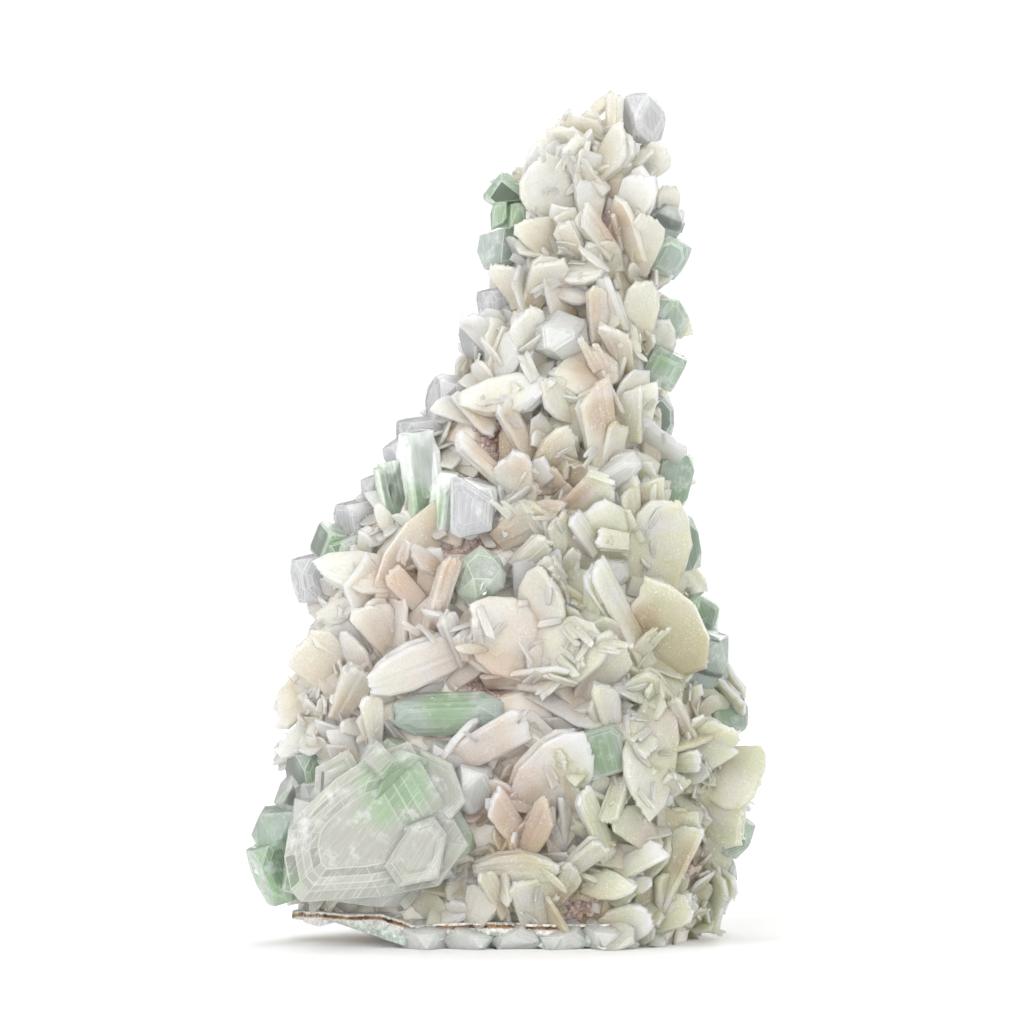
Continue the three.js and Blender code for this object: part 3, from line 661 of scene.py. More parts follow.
# ---------- blades of stilbite ----------
# How a plate is divided: the longest step along it, and its points from side to side.
FINE = (0.07, (-1, -0.95, -0.8, -0.6, -0.42, -0.2, 0, 0.2, 0.4, 0.62, 0.8, 0.95, 1))
PLAIN = (0.3, (-1, -0.92, -0.4, 0.1, 0.5, 0.92, 1))
COARSE = (0.6, (-1, -0.86, 0.1, 0.86, 1))
SLENDER = (1.0, (-1, -0.7, 0.7, 1))
# A plate's rim: where it starts from the middle, its row of points along the length, how
# thin it gets, and how far its teeth and its tip stray.
RIM_STARTS = 0.88
RIM_SHARE = 0.05
RIM_THICKNESS = 0.4
TOOTH = 0.07
RAGGED_TIP = 0.4
# A plate's ribs, how askew its tip is, its bow, and the step down on its face.
RIB = 0.14
RIBBED_TO = 0.9
ASKEW = 0.22
BOW = 0.05
STEP_AT = (0.5, 0.9)
STEP_DROP = (0, 0.2)
# How the tint rises from root to tip, which deepens the painted shade at the roots, and how
# much lighter the rim is painted as a highlight.
ROOT_TO_TIP = 0.7
RIM_LIGHT = 0.35
# A sheaf's outer plates: how much shorter and narrower they may be, how far they shift
# and turn, how they fan out, and how far each overlaps the next.
SHORTER = (0.05, 0.1, 0.3)
NARROWER = (0.06, 0.12, 0.35)
UNEVEN = (0.5, 1.2)
SHIFT = 0.06
TURN = 3
FANNED = -4
OVERLAP = 1.25
TINT_STRAYS = 0.12
# Edges look sharp where faces meet at more than this.
SHARP_OVER = math.radians(13)
# How far behind a leading blade's middle its root goes into the body, as a share of its
# length, how deep under the surface, and the size of the plate that roots it.
ROOT_BACK = 0.45
ROOT_DEPTH = 2.5
ROOT_PLATE = {"length": 1.25, "width": 0.8, "thick": 0.7}
# How much broader the leading blades are than what their neighbours leave to be seen.
BROADER = 1.15
# Plates across a leading blade, the first through it and the others beside it: how far
# back and aside as shares of its length and width, their turn, their rise as a share of
# its rise, and their size as a share of its size.
THROUGH = {"back": (0.1, 0.5), "side": (0.1, 0.5), "turn": (35, 65), "rise": (0.4, 0.8),
           "size": (0.6, 0.95)}
BESIDE = {"back": (-0.35, 0.5), "side": (0.6, 1.1), "turn": (0, 40), "rise": (0, 0.45),
          "size": (0.65, 1.1)}
CROSSING_PLATES = (THROUGH, BESIDE, BESIDE, BESIDE)
# How far crossing plates keep from crystals, from the base and from the outline, then the
# spans of their angle to the leading blade, lean, breadth and thickness.
CROSSING_MARGIN = 3
CROSSING_LOWEST = 3
CROSSING_WITHIN = 0.82
CROSSING_ANGLE = (15, 75)
CROSSING_LEAN = (4, 28)
CROSSING_BREADTH = (0.8, 1.3)
CROSSING_THICK = (1.2, 2.0)
# The small blades' forms and widths, in the same order, then their sizes and root.
SMALL_FORMS = ("bar", "fan", "slab", "lens", "shield", "bar", "slab", "fan")
SMALL_WIDTHS = (7, 11.5, 9.5, 9, 13.5, 8.5, 12, 10.5)
SMALL_LENGTHS = (18, 19, 20, 21)
SMALL_THICK = 2.2
SMALL_ROOT = 3.5
# Fine blades: form and how many side by side, then their sizes, how deep they root, how
# squarely a face must look outwards to carry them, where they gather, and how far they
# keep from the crystals.
FINE_SHEAVES = (("bar", 3), ("slab", 1), ("bar", 2), ("lens", 1), ("bar", 4), ("slab", 2))
FINE_LENGTH = (5, 10)
FINE_WIDTH = (1.0, 1.8)
FINE_THICK = 0.9
FINE_ROOT = 1.2
FINE_FACING = 0.45
FINE_CLUSTER = 0.14
FINE_MARGIN = 3
# How far each of a bundle strays in lean, place and splay, its tint, and how much shorter
# fine blades are at the flanks.
FINE_LEAN = 0.06
FINE_ASIDE = 0.15
FINE_SPLAY = 0.07
FINE_TINT = (0.4, 1)
FINE_FLANK = 0.6
# Loose pieces are made this high over the base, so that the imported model's box leaves
# their roots whole.
LIFT = 4


def hold(mesh, name, values, domain="POINT"):
    """Gives a mesh a number for each of its points or faces."""
    mesh.attributes.new(name, "FLOAT", domain).data.foreach_set("value", values)


def hold_grain(mesh, places, domain="POINT"):
    """Gives each point or corner its place on its own blade or crystal, for the ribs."""
    held = mesh.attributes.new("grain", "FLOAT_VECTOR", domain)
    held.data.foreach_set("vector", [c for place in places for c in place])


def new_mesh(name, points, faces):
    """A mesh from points in millimetres."""
    mesh = bpy.data.meshes.new(name)
    mesh.from_pydata([p * MM for p in points], [], faces)
    return mesh


def in_scene(name, data):
    thing = bpy.data.objects.new(name, data)
    bpy.context.scene.collection.objects.link(thing)
    return thing


def plain_mesh(piece):
    """The mesh that a piece's modifiers make. The piece itself is removed."""
    graph = bpy.context.evaluated_depsgraph_get()
    mesh = bpy.data.meshes.new_from_object(piece.evaluated_get(graph), depsgraph=graph)
    bpy.data.objects.remove(piece)
    return mesh


def joined(meshes):
    """The solid union of some closed meshes."""
    if len(meshes) == 1:
        return meshes[0]
    first = in_scene("part", meshes[0])
    others = bpy.data.collections.new("others")
    bpy.context.scene.collection.children.link(others)
    for mesh in meshes[1:]:
        others.objects.link(bpy.data.objects.new("part", mesh))
    union = first.modifiers.new("union", "BOOLEAN")
    union.operation, union.solver = "UNION", "MANIFOLD"
    union.operand_type, union.collection = "COLLECTION", others
    made = plain_mesh(first)
    for piece in others.objects[:]:
        bpy.data.objects.remove(piece)
    bpy.data.collections.remove(others)
    for mesh in meshes:
        bpy.data.meshes.remove(mesh)
    return made


def placed(name, mesh):
    """A new piece with this mesh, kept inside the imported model's box."""
    low, high = CAD_BOX
    for vertex in mesh.vertices:
        vertex.co = [min(max(c, a), b) for c, a, b in zip(vertex.co, low, high)]
    return in_scene(name, mesh)


def finish_mesh(mesh, material, flat=False):
    mesh.materials.clear()
    mesh.materials.append(material)
    if flat:
        mesh.shade_flat()
    else:
        mesh.shade_smooth()
        mesh.set_sharp_from_angle(angle=SHARP_OVER)


class Heap:
    """Plates that grow into one piece, with each point's place on its own plate."""

    def __init__(self):
        self.meshes = []

    def add(self, points, faces, grain, tints):
        mesh = new_mesh("plate", points, faces)
        hold_grain(mesh, grain)
        hold(mesh, "tint", tints)
        self.meshes.append(mesh)

    def build(self, name):
        mesh = joined(self.meshes)
        finish_mesh(mesh, STILBITE)
        return placed(name, mesh)

    def build_loose(self, name):
        """The piece out of the scene and let down to the origin, to be grown on a surface."""
        piece = self.build(name)
        piece.data.transform(Matrix.Translation((0, 0, -LIFT * MM)))
        bpy.context.scene.collection.objects.unlink(piece)
        return piece


def half_widths(form, share):
    stations = FORMS[form]
    for low, high in zip(stations, stations[1:]):
        if share <= high[0]:
            part = (share - low[0]) / (high[0] - low[0])
            return [a + (b - a) * part for a, b in zip(low[1:], high[1:])]
    return stations[-1][1:]


def rows_along(form, step):
    """Shares of the length where a plate has points: its corners, its rims and even steps."""
    corners = sorted({0, RIM_SHARE, 1 - RIM_SHARE, 1} | {u for u, _, _ in FORMS[form]})
    rows = [0]
    for low, high in zip(corners, corners[1:]):
        pieces = max(1, round((high - low) / step))
        rows += [low + (high - low) * (k + 1) / pieces for k in range(pieces)]
    return rows


def rim(share):
    """How thick a plate is towards its rim, where share is 0 in the middle and 1 at the rim."""
    past = max(0, (share - RIM_STARTS) / (1 - RIM_STARTS))
    return 1 - (1 - RIM_THICKNESS) * past ** 2


def grid_faces(rows, columns):
    """Quads of a plate: its front grid, its back grid and the rim between them."""
    faces = []
    back = rows * columns
    for i in range(rows - 1):
        for j in range(columns - 1):
            a = i * columns + j
            b = a + columns
            faces += [(a, b, b + 1, a + 1),
                      (back + a + 1, back + b + 1, back + b, back + a)]
        first, second = i * columns, (i + 1) * columns
        faces.append((first, back + first, back + second, second))
        first, second = first + columns - 1, second + columns - 1
        faces.append((second, back + second, back + first, first))
    for j in range(columns - 1):
        faces.append((j + 1, back + j + 1, back + j, j))
        low = (rows - 1) * columns + j
        faces.append((low, back + low, back + low + 1, low + 1))
    return faces


def plate(heap, place, form, length, width, thick, dice, tint, grid=FINE):
    """One crystal plate, ribbed lengthwise, with its tip cut askew and a finely toothed rim."""
    step, columns = grid
    rows = rows_along(form, step)
    ribs = [dice.uniform(-RIB, RIB) for _ in columns]
    tips = [dice.uniform(-RAGGED_TIP, RAGGED_TIP) for _ in columns]
    slant = dice.uniform(-ASKEW, ASKEW) * width
    bow = dice.uniform(-BOW, BOW) * length
    drop_at, drop = dice.uniform(*STEP_AT), dice.uniform(*STEP_DROP)
    seed = dice.uniform(0, 500)
    front, back, grain, tints = [], [], [], []
    for u in rows:
        left, right = half_widths(form, u)
        for j, v in enumerate(columns):
            # The tint holds the blade's own tone, with painted shade towards the root and a
            # painted highlight along the rim and tip.
            tints.append(tint + ROOT_TO_TIP * (u - 0.5) + RIM_LIGHT * (abs(v) == 1 or u == 1))
            tooth = dice.uniform(-TOOTH, TOOTH)
            x = length * (u - 0.5) + slant * v * u + tips[j] * (u == 1)
            y = width * v * (left if v < 0 else right) + tooth * (abs(v) == 1)
            half = thick / 2 * min(rim(abs(v)), rim(abs(2 * u - 1)))
            bend = bow * (u - 0.4) ** 2
            upper = half * (1 - drop * (u > drop_at)) + ribs[j] * (abs(v) < RIBBED_TO)
            front.append(place @ Vector((x, y, bend + upper)))
            back.append(place @ Vector((x, y, bend - half)))
            grain.append((x + seed, y, seed))
    heap.add(front + back, grid_faces(len(rows), len(columns)), grain * 2, tints * 2)


def sheaf(heap, place, form, length, width, thick, dice, layers):
    """Plates grown on each other, almost parallel, the outer ones shorter and shifted."""
    tint = dice.random()
    for k in range(layers):
        share = (k + 0.5) / layers - 0.5
        outer = k != layers - 1
        shorter = 1 - dice.choice(SHORTER) * dice.uniform(*UNEVEN) * outer
        narrower = 1 - dice.choice(NARROWER) * dice.uniform(*UNEVEN) * outer
        shift = width * dice.uniform(-SHIFT, SHIFT) * outer
        turned = Matrix.Rotation(math.radians(dice.uniform(-TURN, TURN)) * outer, 4, "Z")
        fanned = Matrix.Rotation(math.radians(FANNED * share), 4, "Y")
        root = Matrix.Translation((-length / 2, shift, thick * share))
        middle = Matrix.Translation((length * shorter / 2, 0, 0))
        own = place @ root @ turned @ fanned @ middle
        plate(heap, own, form, length * shorter, width * narrower, thick / layers * OVERLAP,
              dice, min(1, max(0, tint + dice.uniform(-TINT_STRAYS, TINT_STRAYS))),
              PLAIN if outer else FINE)


def leading_place(x, z, direction, turn, lean, rise):
    surface = Matrix.Translation((x, front_of_body(x, z) - rise, z))
    return surface @ facing_front(direction, lean, turn)


def under_plate(heap, place, length, width, thick, dice):
    """The plate under a leading blade, which roots it in the body."""
    middle = place.translation
    foot = place @ Vector((-ROOT_BACK * length, 0, 0))
    root = Vector((foot.x, front_of_body(foot.x, foot.z) + ROOT_DEPTH, foot.z))
    along = middle - root
    reach = along.length * ROOT_PLATE["length"]
    along.normalize()
    across = place.to_3x3() @ Vector((0, 1, 0))
    across = (across - along * across.dot(along)).normalized()
    own = Matrix.Translation(root + along * reach / 2) @ turned_to(along, across)
    plate(heap, own, "wedge", reach, width * ROOT_PLATE["width"], thick * ROOT_PLATE["thick"],
          dice, dice.random(), PLAIN)


def crossing_plates(heap, x, z, length, width, direction, rise, dice):
    """Plates grown through and beside a leading blade, at angles to it."""
    along = math.radians(direction)
    for spans in CROSSING_PLATES:
        back = dice.uniform(*spans["back"]) * length
        side = dice.choice((-1, 1)) * dice.uniform(*spans["side"]) * width
        px = x - back * math.cos(along) - side * math.sin(along)
        pz = z - back * math.sin(along) + side * math.cos(along)
        pz = max(pz, CROSSING_LOWEST)
        middle, _, half, _ = section_at(pz)
        root = Vector((px, front_of_body(px, pz), pz))
        if (in_pocket(root) > 0 or abs(px - middle) > CROSSING_WITHIN * half
                or near_crystal(root, CROSSING_MARGIN)):
            continue
        turn = dice.choice((-1, 1)) * dice.uniform(*spans["turn"])
        own_direction = direction + dice.choice((-1, 1)) * dice.uniform(*CROSSING_ANGLE)
        lean = dice.uniform(*CROSSING_LEAN)
        own_rise = rise * dice.uniform(*spans["rise"])
        place = leading_place(px, pz, own_direction, turn, lean, own_rise)
        size = dice.uniform(*spans["size"])
        form = dice.choice(SMALL_FORMS)
        breadth = width * size * dice.uniform(*CROSSING_BREADTH)
        thick = dice.uniform(*CROSSING_THICK)
        plate(heap, place, form, length * size, breadth, thick, dice, dice.random(), PLAIN)


def leading_sheaves(name, rows):
    heap = Heap()
    dice = random.Random(name)
    for x, z, length, width, thick, direction, turn, lean, rise, form in rows:
        place = leading_place(x, z, direction, turn, lean, rise)
        true_length = length / math.cos(math.radians(lean))
        sheaf(heap, place, form, true_length, width * BROADER, thick, dice, 2)
        under_plate(heap, place, true_length, width, thick, dice)
        crossing_plates(heap, x, z, length, width, direction, rise, dice)
    return heap.build(name)


def round_the_back(share):
    """An angle from the right edge, round the back, to the left edge. Even steps in x and
    even steps in angle are mixed, and go a little past both edges."""
    across = math.acos(min(max(1 - 2.1 * (share - 0.024), -1), 1))
    return 0.6 * across + 0.4 * math.pi * between((-0.12, 1.12), share)


def side_place(index, z, angle):
    """Where a broad blade of the sides and back stands out of the body."""
    root = body_point(z, angle)
    ahead = (body_point(z, angle + 0.05) - root).normalized()
    outward = Vector((ahead.y, -ahead.x, 0))
    side = 2 * math.pi * even(index, STEPS["side"])
    splay = math.radians(between(SIDE_BLADES["splay"], even(index, STEPS["splay"])))
    spread = ahead * math.cos(side) + Vector((0, 0, math.sin(side)))
    along = (outward * math.cos(splay) + spread * math.sin(splay)).normalized()
    roll = Matrix.Rotation(math.pi * even(index, STEPS["roll"]), 3, along)
    across = (roll @ Vector((0, 0, 1))).cross(along).normalized()
    sunk = Matrix.Translation(root - outward * SIDE_BLADES["sink"])
    return sunk @ turned_to(along, across)


def side_sheaves():
    heap = Heap()
    dice = random.Random("sides and back")
    for i in range(SIDE_BLADES["count"]):
        z = between(SIDE_BLADES["height"], even(i, STEPS["up"]) ** SIDE_BLADES["lower"])
        angle = round_the_back(even(i, STEPS["round"]))
        if body_point(z, angle).x < OVERHANG_X:
            z = max(z, OVERHANG_Z)
        place = side_place(i, z, angle)
        length = between(SIDE_BLADES["length"], even(i, STEPS["length"]))
        width = between(SIDE_BLADES["width"], even(i, STEPS["width"]))
        form = SIDE_FORMS[i % len(SIDE_FORMS)]
        sheaf(heap, place, form, length, width, SIDE_BLADES["thick"], dice, 3)
    return heap.build("stilbite_sides")


# ---------- the rock ----------
MAIN = "matrix_with_stilbite"
# The rock's rings, the points of each, and how deep its lumps and its facets go.
CORE_RINGS = 120
CORE_POINTS = 110
CORE_LUMPS = 0.9
CORE_FACETS = 0.8

# Hollows of brown druse in the front: x, z, half width, half height, angle.
POCKETS = (
    (17.8, 155, 3.2, 5.5, 0),
    (-4, 121.5, 6.5, 9, 0),
    (8.4, 127, 4.5, 3.5, 0),
    (-10.4, 98.4, 9.5, 3.4, 0),
    (-25.8, 89, 9.5, 2.6, 20),
    (25.5, 178.8, 2.2, 7.5, 0),
    (34, 80.6, 3, 3.2, 0),
    (26.5, 130.6, 2.4, 8, 0),
    (-4.8, 64.6, 8.5, 3.4, 0),
    (18.6, 9.5, 4.8, 4.2, 0),
    (47.5, 20, 2.4, 8, -20),
)
POCKET_DEPTH = 3.2
# How far from a crystal small blades may root, how near one the rock counts as crowded,
# and how far out a leading blade still covers the rock.
CRYSTAL_MARGIN = 0.5
CROWDED = 3.2
COVER_REACH = 9
# Small blades are shorter at the flanks and where it is crowded.
FLANK_REACH = 0.45
CROWDED_REACH = 0.55
# The least height of small blades, and that at the overhang left of an x.
SMALL_LOWEST = 2
SMALL_LOWEST_LEFT = 9
SMALL_LEFT_X = -30


def in_pocket(point):
    """1 in the middle of a pocket, 0 at its edge and beyond."""
    if point.y > 0:
        return 0
    best = 0
    for x, z, half_width, half_height, angle in POCKETS:
        c, s = math.cos(math.radians(angle)), math.sin(math.radians(angle))
        dx, dz = point.x - x, point.z - z
        across, up = (dx * c + dz * s) / half_width, (dz * c - dx * s) / half_height
        best = max(best, 1 - math.hypot(across, up))
    return best


def search_tree(objects):
    """A tree of the faces of some pieces, in millimetres, for nearest points and rays."""
    points, faces = [], []
    for piece in objects:
        start = len(points)
        points += [v.co / MM for v in piece.data.vertices]
        faces += [[start + i for i in f.vertices] for f in piece.data.polygons]
    return BVHTree.FromPolygons(points, faces)


def near_crystal(point, margin):
    """True inside a crystal or within a margin of one."""
    place, normal, _, away = CRYSTAL_FACES.find_nearest(point)
    return away < margin or (point - place).dot(normal) < 0


def covered(point, outward, blades):
    """True where a blade lies over this point."""
    return blades.ray_cast(point, outward, COVER_REACH)[0] is not None


def rock_core(leading):
    """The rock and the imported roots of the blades, lumpy inwards from the body's surface.

    Its points hold how much room they have for small blades and for druse grains."""
    points, blade_room, filling_room, druse_room, reach = [], [], [], [], []
    blades = search_tree(leading)
    top = BODY_SECTIONS[-1][0]
    for level in range(CORE_RINGS):
        z = top * level / (CORE_RINGS - 1)
        x, y, half, _ = section_at(z)
        for i in range(CORE_POINTS):
            point = body_point(z, 2 * math.pi * i / CORE_POINTS)
            aside = min(max((abs(point.x - x) / half - 0.5) / 0.5, 0), 1)
            crowded = near_crystal(point, CROWDED)
            reach.append((1 - (1 - FLANK_REACH) * aside) * (CROWDED_REACH if crowded else 1))
            hollow = in_pocket(point)
            inward = Vector((x - point.x, y - point.y, 0)).normalized()
            lowest = SMALL_LOWEST_LEFT if point.x < SMALL_LEFT_X else SMALL_LOWEST
            free = hollow < 0.05 and z > lowest and not near_crystal(point, CRYSTAL_MARGIN)
            bare = crowded or not covered(point, -inward, blades)
            blade_room.append(float(free and bare))
            filling_room.append(float(free and (crowded or aside > 0.5)))
            druse_room.append(min(1, 3 * hollow))
            lump = noise.noise(point * 0.12) + 0.5 * noise.noise(point * 0.4)
            depth = CORE_LUMPS * (1 + lump) + POCKET_DEPTH * min(1, 2 * hollow)
            depth += CORE_FACETS * (1 + noise.noise(point * 1.3))
            points.append(point + inward * depth)
    faces = []
    for level in range(CORE_RINGS - 1):
        for i in range(CORE_POINTS):
            a, b = level * CORE_POINTS + i, level * CORE_POINTS + (i + 1) % CORE_POINTS
            faces.append((a, b, b + CORE_POINTS, a + CORE_POINTS))
    faces.append(tuple(range(CORE_POINTS))[::-1])
    faces.append(tuple(range(len(points) - CORE_POINTS, len(points))))
    mesh = new_mesh("rock_core", points, faces)
    held = {"blade_room": blade_room, "filling_room": filling_room, "druse_room": druse_room,
            "reach": reach, "full_reach": [1.0] * len(points)}
    for name, values in held.items():
        hold(mesh, name, values)
    finish_mesh(mesh, ROCK, flat=True)
    return placed("rock_core", mesh)


# The broken edge of rock along the foot of the front: x, its underside and its rusty seam.
LIP_PROFILE = (
    (-53, 5.2, 6.0), (-49.5, 4.9, 6.7), (-45.6, 4.5, 7.3), (-41.5, 6.0, 7.2), (-38, 5.0, 7.2),
    (-30, 2.4, 7.5), (-26, 1.2, 6.2), (-22, 0.6, 4.7), (-16, 2.3, 5.3), (-8, 3.0, 5.6),
    (-2, 1.6, 5.7), (6, 1.8, 5.4), (10, 0, 5.2), (23, 0.6, 5.0), (30, 1.0, 5.6), (40, 1.4, 6.2),
)
# Its points up a column: shares of the way to the seam, then heights from the seam.
LIP_LEVELS = (0, 0.25, 0.5, 0.75, 1)
SEAM_LEVELS = (-0.3, 0, 0.3, 0.9)
UNDER_SEAM = 0.5
LIP_STEP = 0.7
# How far it stands out of the body and goes into it, from the body's front at a height,
# and how deep its seam is cut.
LIP_OUT = (2.6, 5.0)
LIP_DEEP = 8
LIP_AT = 8
SEAM_GROOVE = 0.7


def lip_front(x, z, seam):
    """How far forward the rock edge stands: ragged, and drawn in towards its ends."""
    share = (x - LIP_PROFILE[0][0]) / (LIP_PROFILE[-1][0] - LIP_PROFILE[0][0])
    ends = min(1, 7 * share, 7 * (1 - share))
    place = Vector((x * 0.22, z * 0.5, 3))
    ragged = noise.noise(place) + 0.6 * noise.noise(place * 4.3)
    groove = SEAM_GROOVE * (abs(z - seam) < 0.1)
    return front_of_body(x, LIP_AT) - ends * (between(LIP_OUT, 0.5 + ragged) - groove)


def rock_edge():
    """The rock edge. Its points hold how high they are over the seam and over the underside."""
    points, faces, over_seam, height = [], [], [], []
    left, right = LIP_PROFILE[0][0], LIP_PROFILE[-1][0]
    count = round((right - left) / LIP_STEP) + 1
    for i in range(count):
        x = left + (right - left) * i / (count - 1)
        _, low, seam = row_between(LIP_PROFILE, x)
        levels = [low + (seam - UNDER_SEAM - low) * share for share in LIP_LEVELS]
        levels += [seam + up for up in SEAM_LEVELS]
        deep = front_of_body(x, LIP_AT) + LIP_DEEP
        column = [Vector((x, lip_front(x, z, seam), z)) for z in levels]
        column += [Vector((x, deep, levels[-1])), Vector((x, deep, low))]
        points += column
        over_seam += [p.z - seam for p in column]
        height += [(p.z - low) / (seam - low) for p in column]
    around = len(LIP_LEVELS) + len(SEAM_LEVELS) + 2
    for i in range(count - 1):
        for k in range(around):
            a, b = i * around + k, i * around + (k + 1) % around
            faces.append((a, a + around, b + around, b))
    faces.append(tuple(range(around)))
    faces.append(tuple(range((count - 1) * around, count * around))[::-1])
    mesh = new_mesh("rock_edge", points, faces)
    hold(mesh, "over_seam", over_seam)
    hold(mesh, "height", height)
    finish_mesh(mesh, EDGE_ROCK)
    return placed("rock_edge", mesh)


# ---------- what grows all over the rock ----------
# The radii of the druse's grains, and how uneven they are.
GRAIN_SIZES = (0.8, 0.65, 0.95)
GRAIN_UNEVEN = (0.8, 1.2)
# How far off its own face a blade looks for others that cover it.
OFF_FACE = 0.4


def scatter_tree():
    """Grows copies of a set of pieces out of a surface: on its points with room, each
    splayed from straight out, its broad face outwards but rolled, and sized by its own draw."""
    tree = bpy.data.node_groups.new("grown_over_surface", "GeometryNodeTree")
    sockets = (
        ("Surface", "Geometry"), ("Pieces", "Collection"), ("Room", "String"),
        ("Spacing", "Float"), ("Density", "Float"), ("Splay Least", "Float"),
        ("Splay Most", "Float"), ("Roll Most", "Float"), ("Size Least", "Float"),
        ("Size Most", "Float"), ("Reach", "String"), ("Seed", "Int"), ("Material", "Material"),
    )
    for name, kind in sockets:
        tree.interface.new_socket(name, in_out="INPUT", socket_type="NodeSocket" + kind)
    tree.interface.new_socket("Grown", in_out="OUTPUT", socket_type="NodeSocketGeometry")
    given = add_node(tree, "NodeGroupInput").outputs

    def draw(kind, low, high, offset):
        """A random value for each point: the outputs and inputs differ with its kind."""
        first, output = {"FLOAT": (2, 1), "FLOAT_VECTOR": (0, 0)}[kind]
        seed = math_node(tree, "ADD", given["Seed"], offset)
        made = add_node(tree, "FunctionNodeRandomValue", {"data_type": kind},
                        {first: low, first + 1: high, "Seed": seed})
        return made.outputs[output]

    def held(name):
        made = add_node(tree, "GeometryNodeInputNamedAttribute", {"data_type": "FLOAT"},
                        {"Name": given[name]})
        return made.outputs["Attribute"]

    spread = add_node(tree, "GeometryNodeDistributePointsOnFaces",
                      {"distribute_method": "POISSON"}, {
                          "Mesh": given["Surface"], "Distance Min": given["Spacing"],
                          "Density Max": given["Density"], "Density Factor": held("Room"),
                          "Seed": given["Seed"]}).outputs
    outward = spread["Normal"]
    any_way = draw("FLOAT_VECTOR", (-1, -1, -1), (1, 1, 1), 1)
    aside = vector_math(tree, "NORMALIZE", vector_math(tree, "CROSS_PRODUCT", outward, any_way))
    splay = draw("FLOAT", given["Splay Least"], given["Splay Most"], 2)
    out_part = vector_math(tree, "SCALE", outward, math_node(tree, "COSINE", splay))
    side_part = vector_math(tree, "SCALE", aside, math_node(tree, "SINE", splay))
    along = vector_math(tree, "ADD", out_part, side_part)
    upright = add_node(tree, "FunctionNodeAlignRotationToVector", {"axis": "Z"},
                       {"Vector": along})
    faced = add_node(tree, "FunctionNodeAlignRotationToVector",
                     {"axis": "X", "pivot_axis": "Z"},
                     {"Rotation": upright.outputs[0], "Vector": outward})
    least_roll = math_node(tree, "MULTIPLY", given["Roll Most"], -1.0)
    roll = add_node(tree, "FunctionNodeAxisAngleToRotation", inputs={
        "Axis": (0, 0, 1), "Angle": draw("FLOAT", least_roll, given["Roll Most"], 3)})
    turned = add_node(tree, "FunctionNodeRotateRotation", {"rotation_space": "LOCAL"},
                      {0: faced.outputs[0], 1: roll.outputs[0]})
    size = math_node(tree, "MULTIPLY", draw("FLOAT", given["Size Least"], given["Size Most"], 4),
                     held("Reach"))
    pieces = add_node(tree, "GeometryNodeCollectionInfo", inputs={
        "Collection": given["Pieces"], "Separate Children": True, "Reset Children": True})
    copies = add_node(tree, "GeometryNodeInstanceOnPoints", inputs={
        "Points": spread["Points"], "Instance": pieces.outputs[0], "Pick Instance": True,
        "Rotation": turned.outputs[0], "Scale": size})
    merged = add_node(tree, "GeometryNodeMeshBoolean",
                      {"operation": "UNION", "solver": "MANIFOLD"},
                      {"Mesh 2": copies.outputs[0]})
    real = add_node(tree, "GeometryNodeRealizeInstances", inputs={"Geometry": merged.outputs[0]})
    dressed = add_node(tree, "GeometryNodeSetMaterial",
                       inputs={"Geometry": real.outputs[0], "Material": given["Material"]})
    add_node(tree, "NodeGroupOutput", inputs={"Grown": dressed.outputs[0]})
    return tree


SCATTER = scatter_tree()


def scatter(name, surface, pieces, material, **given):
    """Pieces grown over a surface mesh, as one piece. The given values are the tree's inputs."""
    collection = bpy.data.collections.new(name + "_set")
    for piece in pieces:
        collection.objects.link(piece)
    carrier = in_scene(name, surface.copy())
    modifier = carrier.modifiers.new("grown", "NODES")
    modifier.node_group = SCATTER
    values = dict(given, Pieces=collection, Material=material)
    for item in SCATTER.interface.items_tree:
        key = item.name.replace(" ", "_")
        if item.in_out == "INPUT" and key in values:
            modifier[item.identifier] = values[key]
    mesh = plain_mesh(carrier)
    finish_mesh(mesh, material)
    for piece in pieces:
        bpy.data.objects.remove(piece)
    bpy.data.collections.remove(collection)
    return placed(name, mesh)


def small_sheaves():
    """Small blades that stand on the origin, to be grown over the rock."""
    sheaves = []
    for i, (form, width) in enumerate(zip(SMALL_FORMS, SMALL_WIDTHS)):
        heap = Heap()
        dice = random.Random(i)
        length = SMALL_LENGTHS[i % len(SMALL_LENGTHS)]
        upright = Matrix.Rotation(-math.pi / 2, 4, "Y")
        rooted = Matrix.Translation((length / 2 - SMALL_ROOT, 0, 0))
        own = Matrix.Translation((0, 0, LIFT)) @ upright @ rooted
        plate(heap, own, form, length, width, SMALL_THICK, dice, dice.random(), COARSE)
        sheaves.append(heap.build_loose(f"small_sheaf_{i}"))
    return sheaves


def fine_sheaves():
    """Slender blades and bundles of them, to be grown over the faces of the leading blades."""
    sheaves = []
    for i, (form, bars) in enumerate(FINE_SHEAVES):
        heap = Heap()
        dice = random.Random(100 + i)
        for k in range(bars):
            length = dice.uniform(*FINE_LENGTH)
            width = dice.uniform(*FINE_WIDTH) * (2 if bars == 1 else 1)
            lean = dice.uniform(-FINE_LEAN, FINE_LEAN)
            upright = Matrix.Rotation(-math.pi / 2 + lean, 4, "Y")
            beside = (k - (bars - 1) / 2) * FINE_WIDTH[0]
            aside = Matrix.Translation((dice.uniform(-FINE_ASIDE, FINE_ASIDE), beside, LIFT))
            turned = Matrix.Rotation(dice.uniform(-FINE_SPLAY, FINE_SPLAY), 4, "X")
            rooted = Matrix.Translation((length / 2 - FINE_ROOT, 0, 0))
            own = aside @ turned @ upright @ rooted
            tint = dice.uniform(*FINE_TINT)
            plate(heap, own, form, length, width, FINE_THICK, dice, tint, SLENDER)
        sheaves.append(heap.build_loose(f"fine_sheaf_{i}"))
    return sheaves


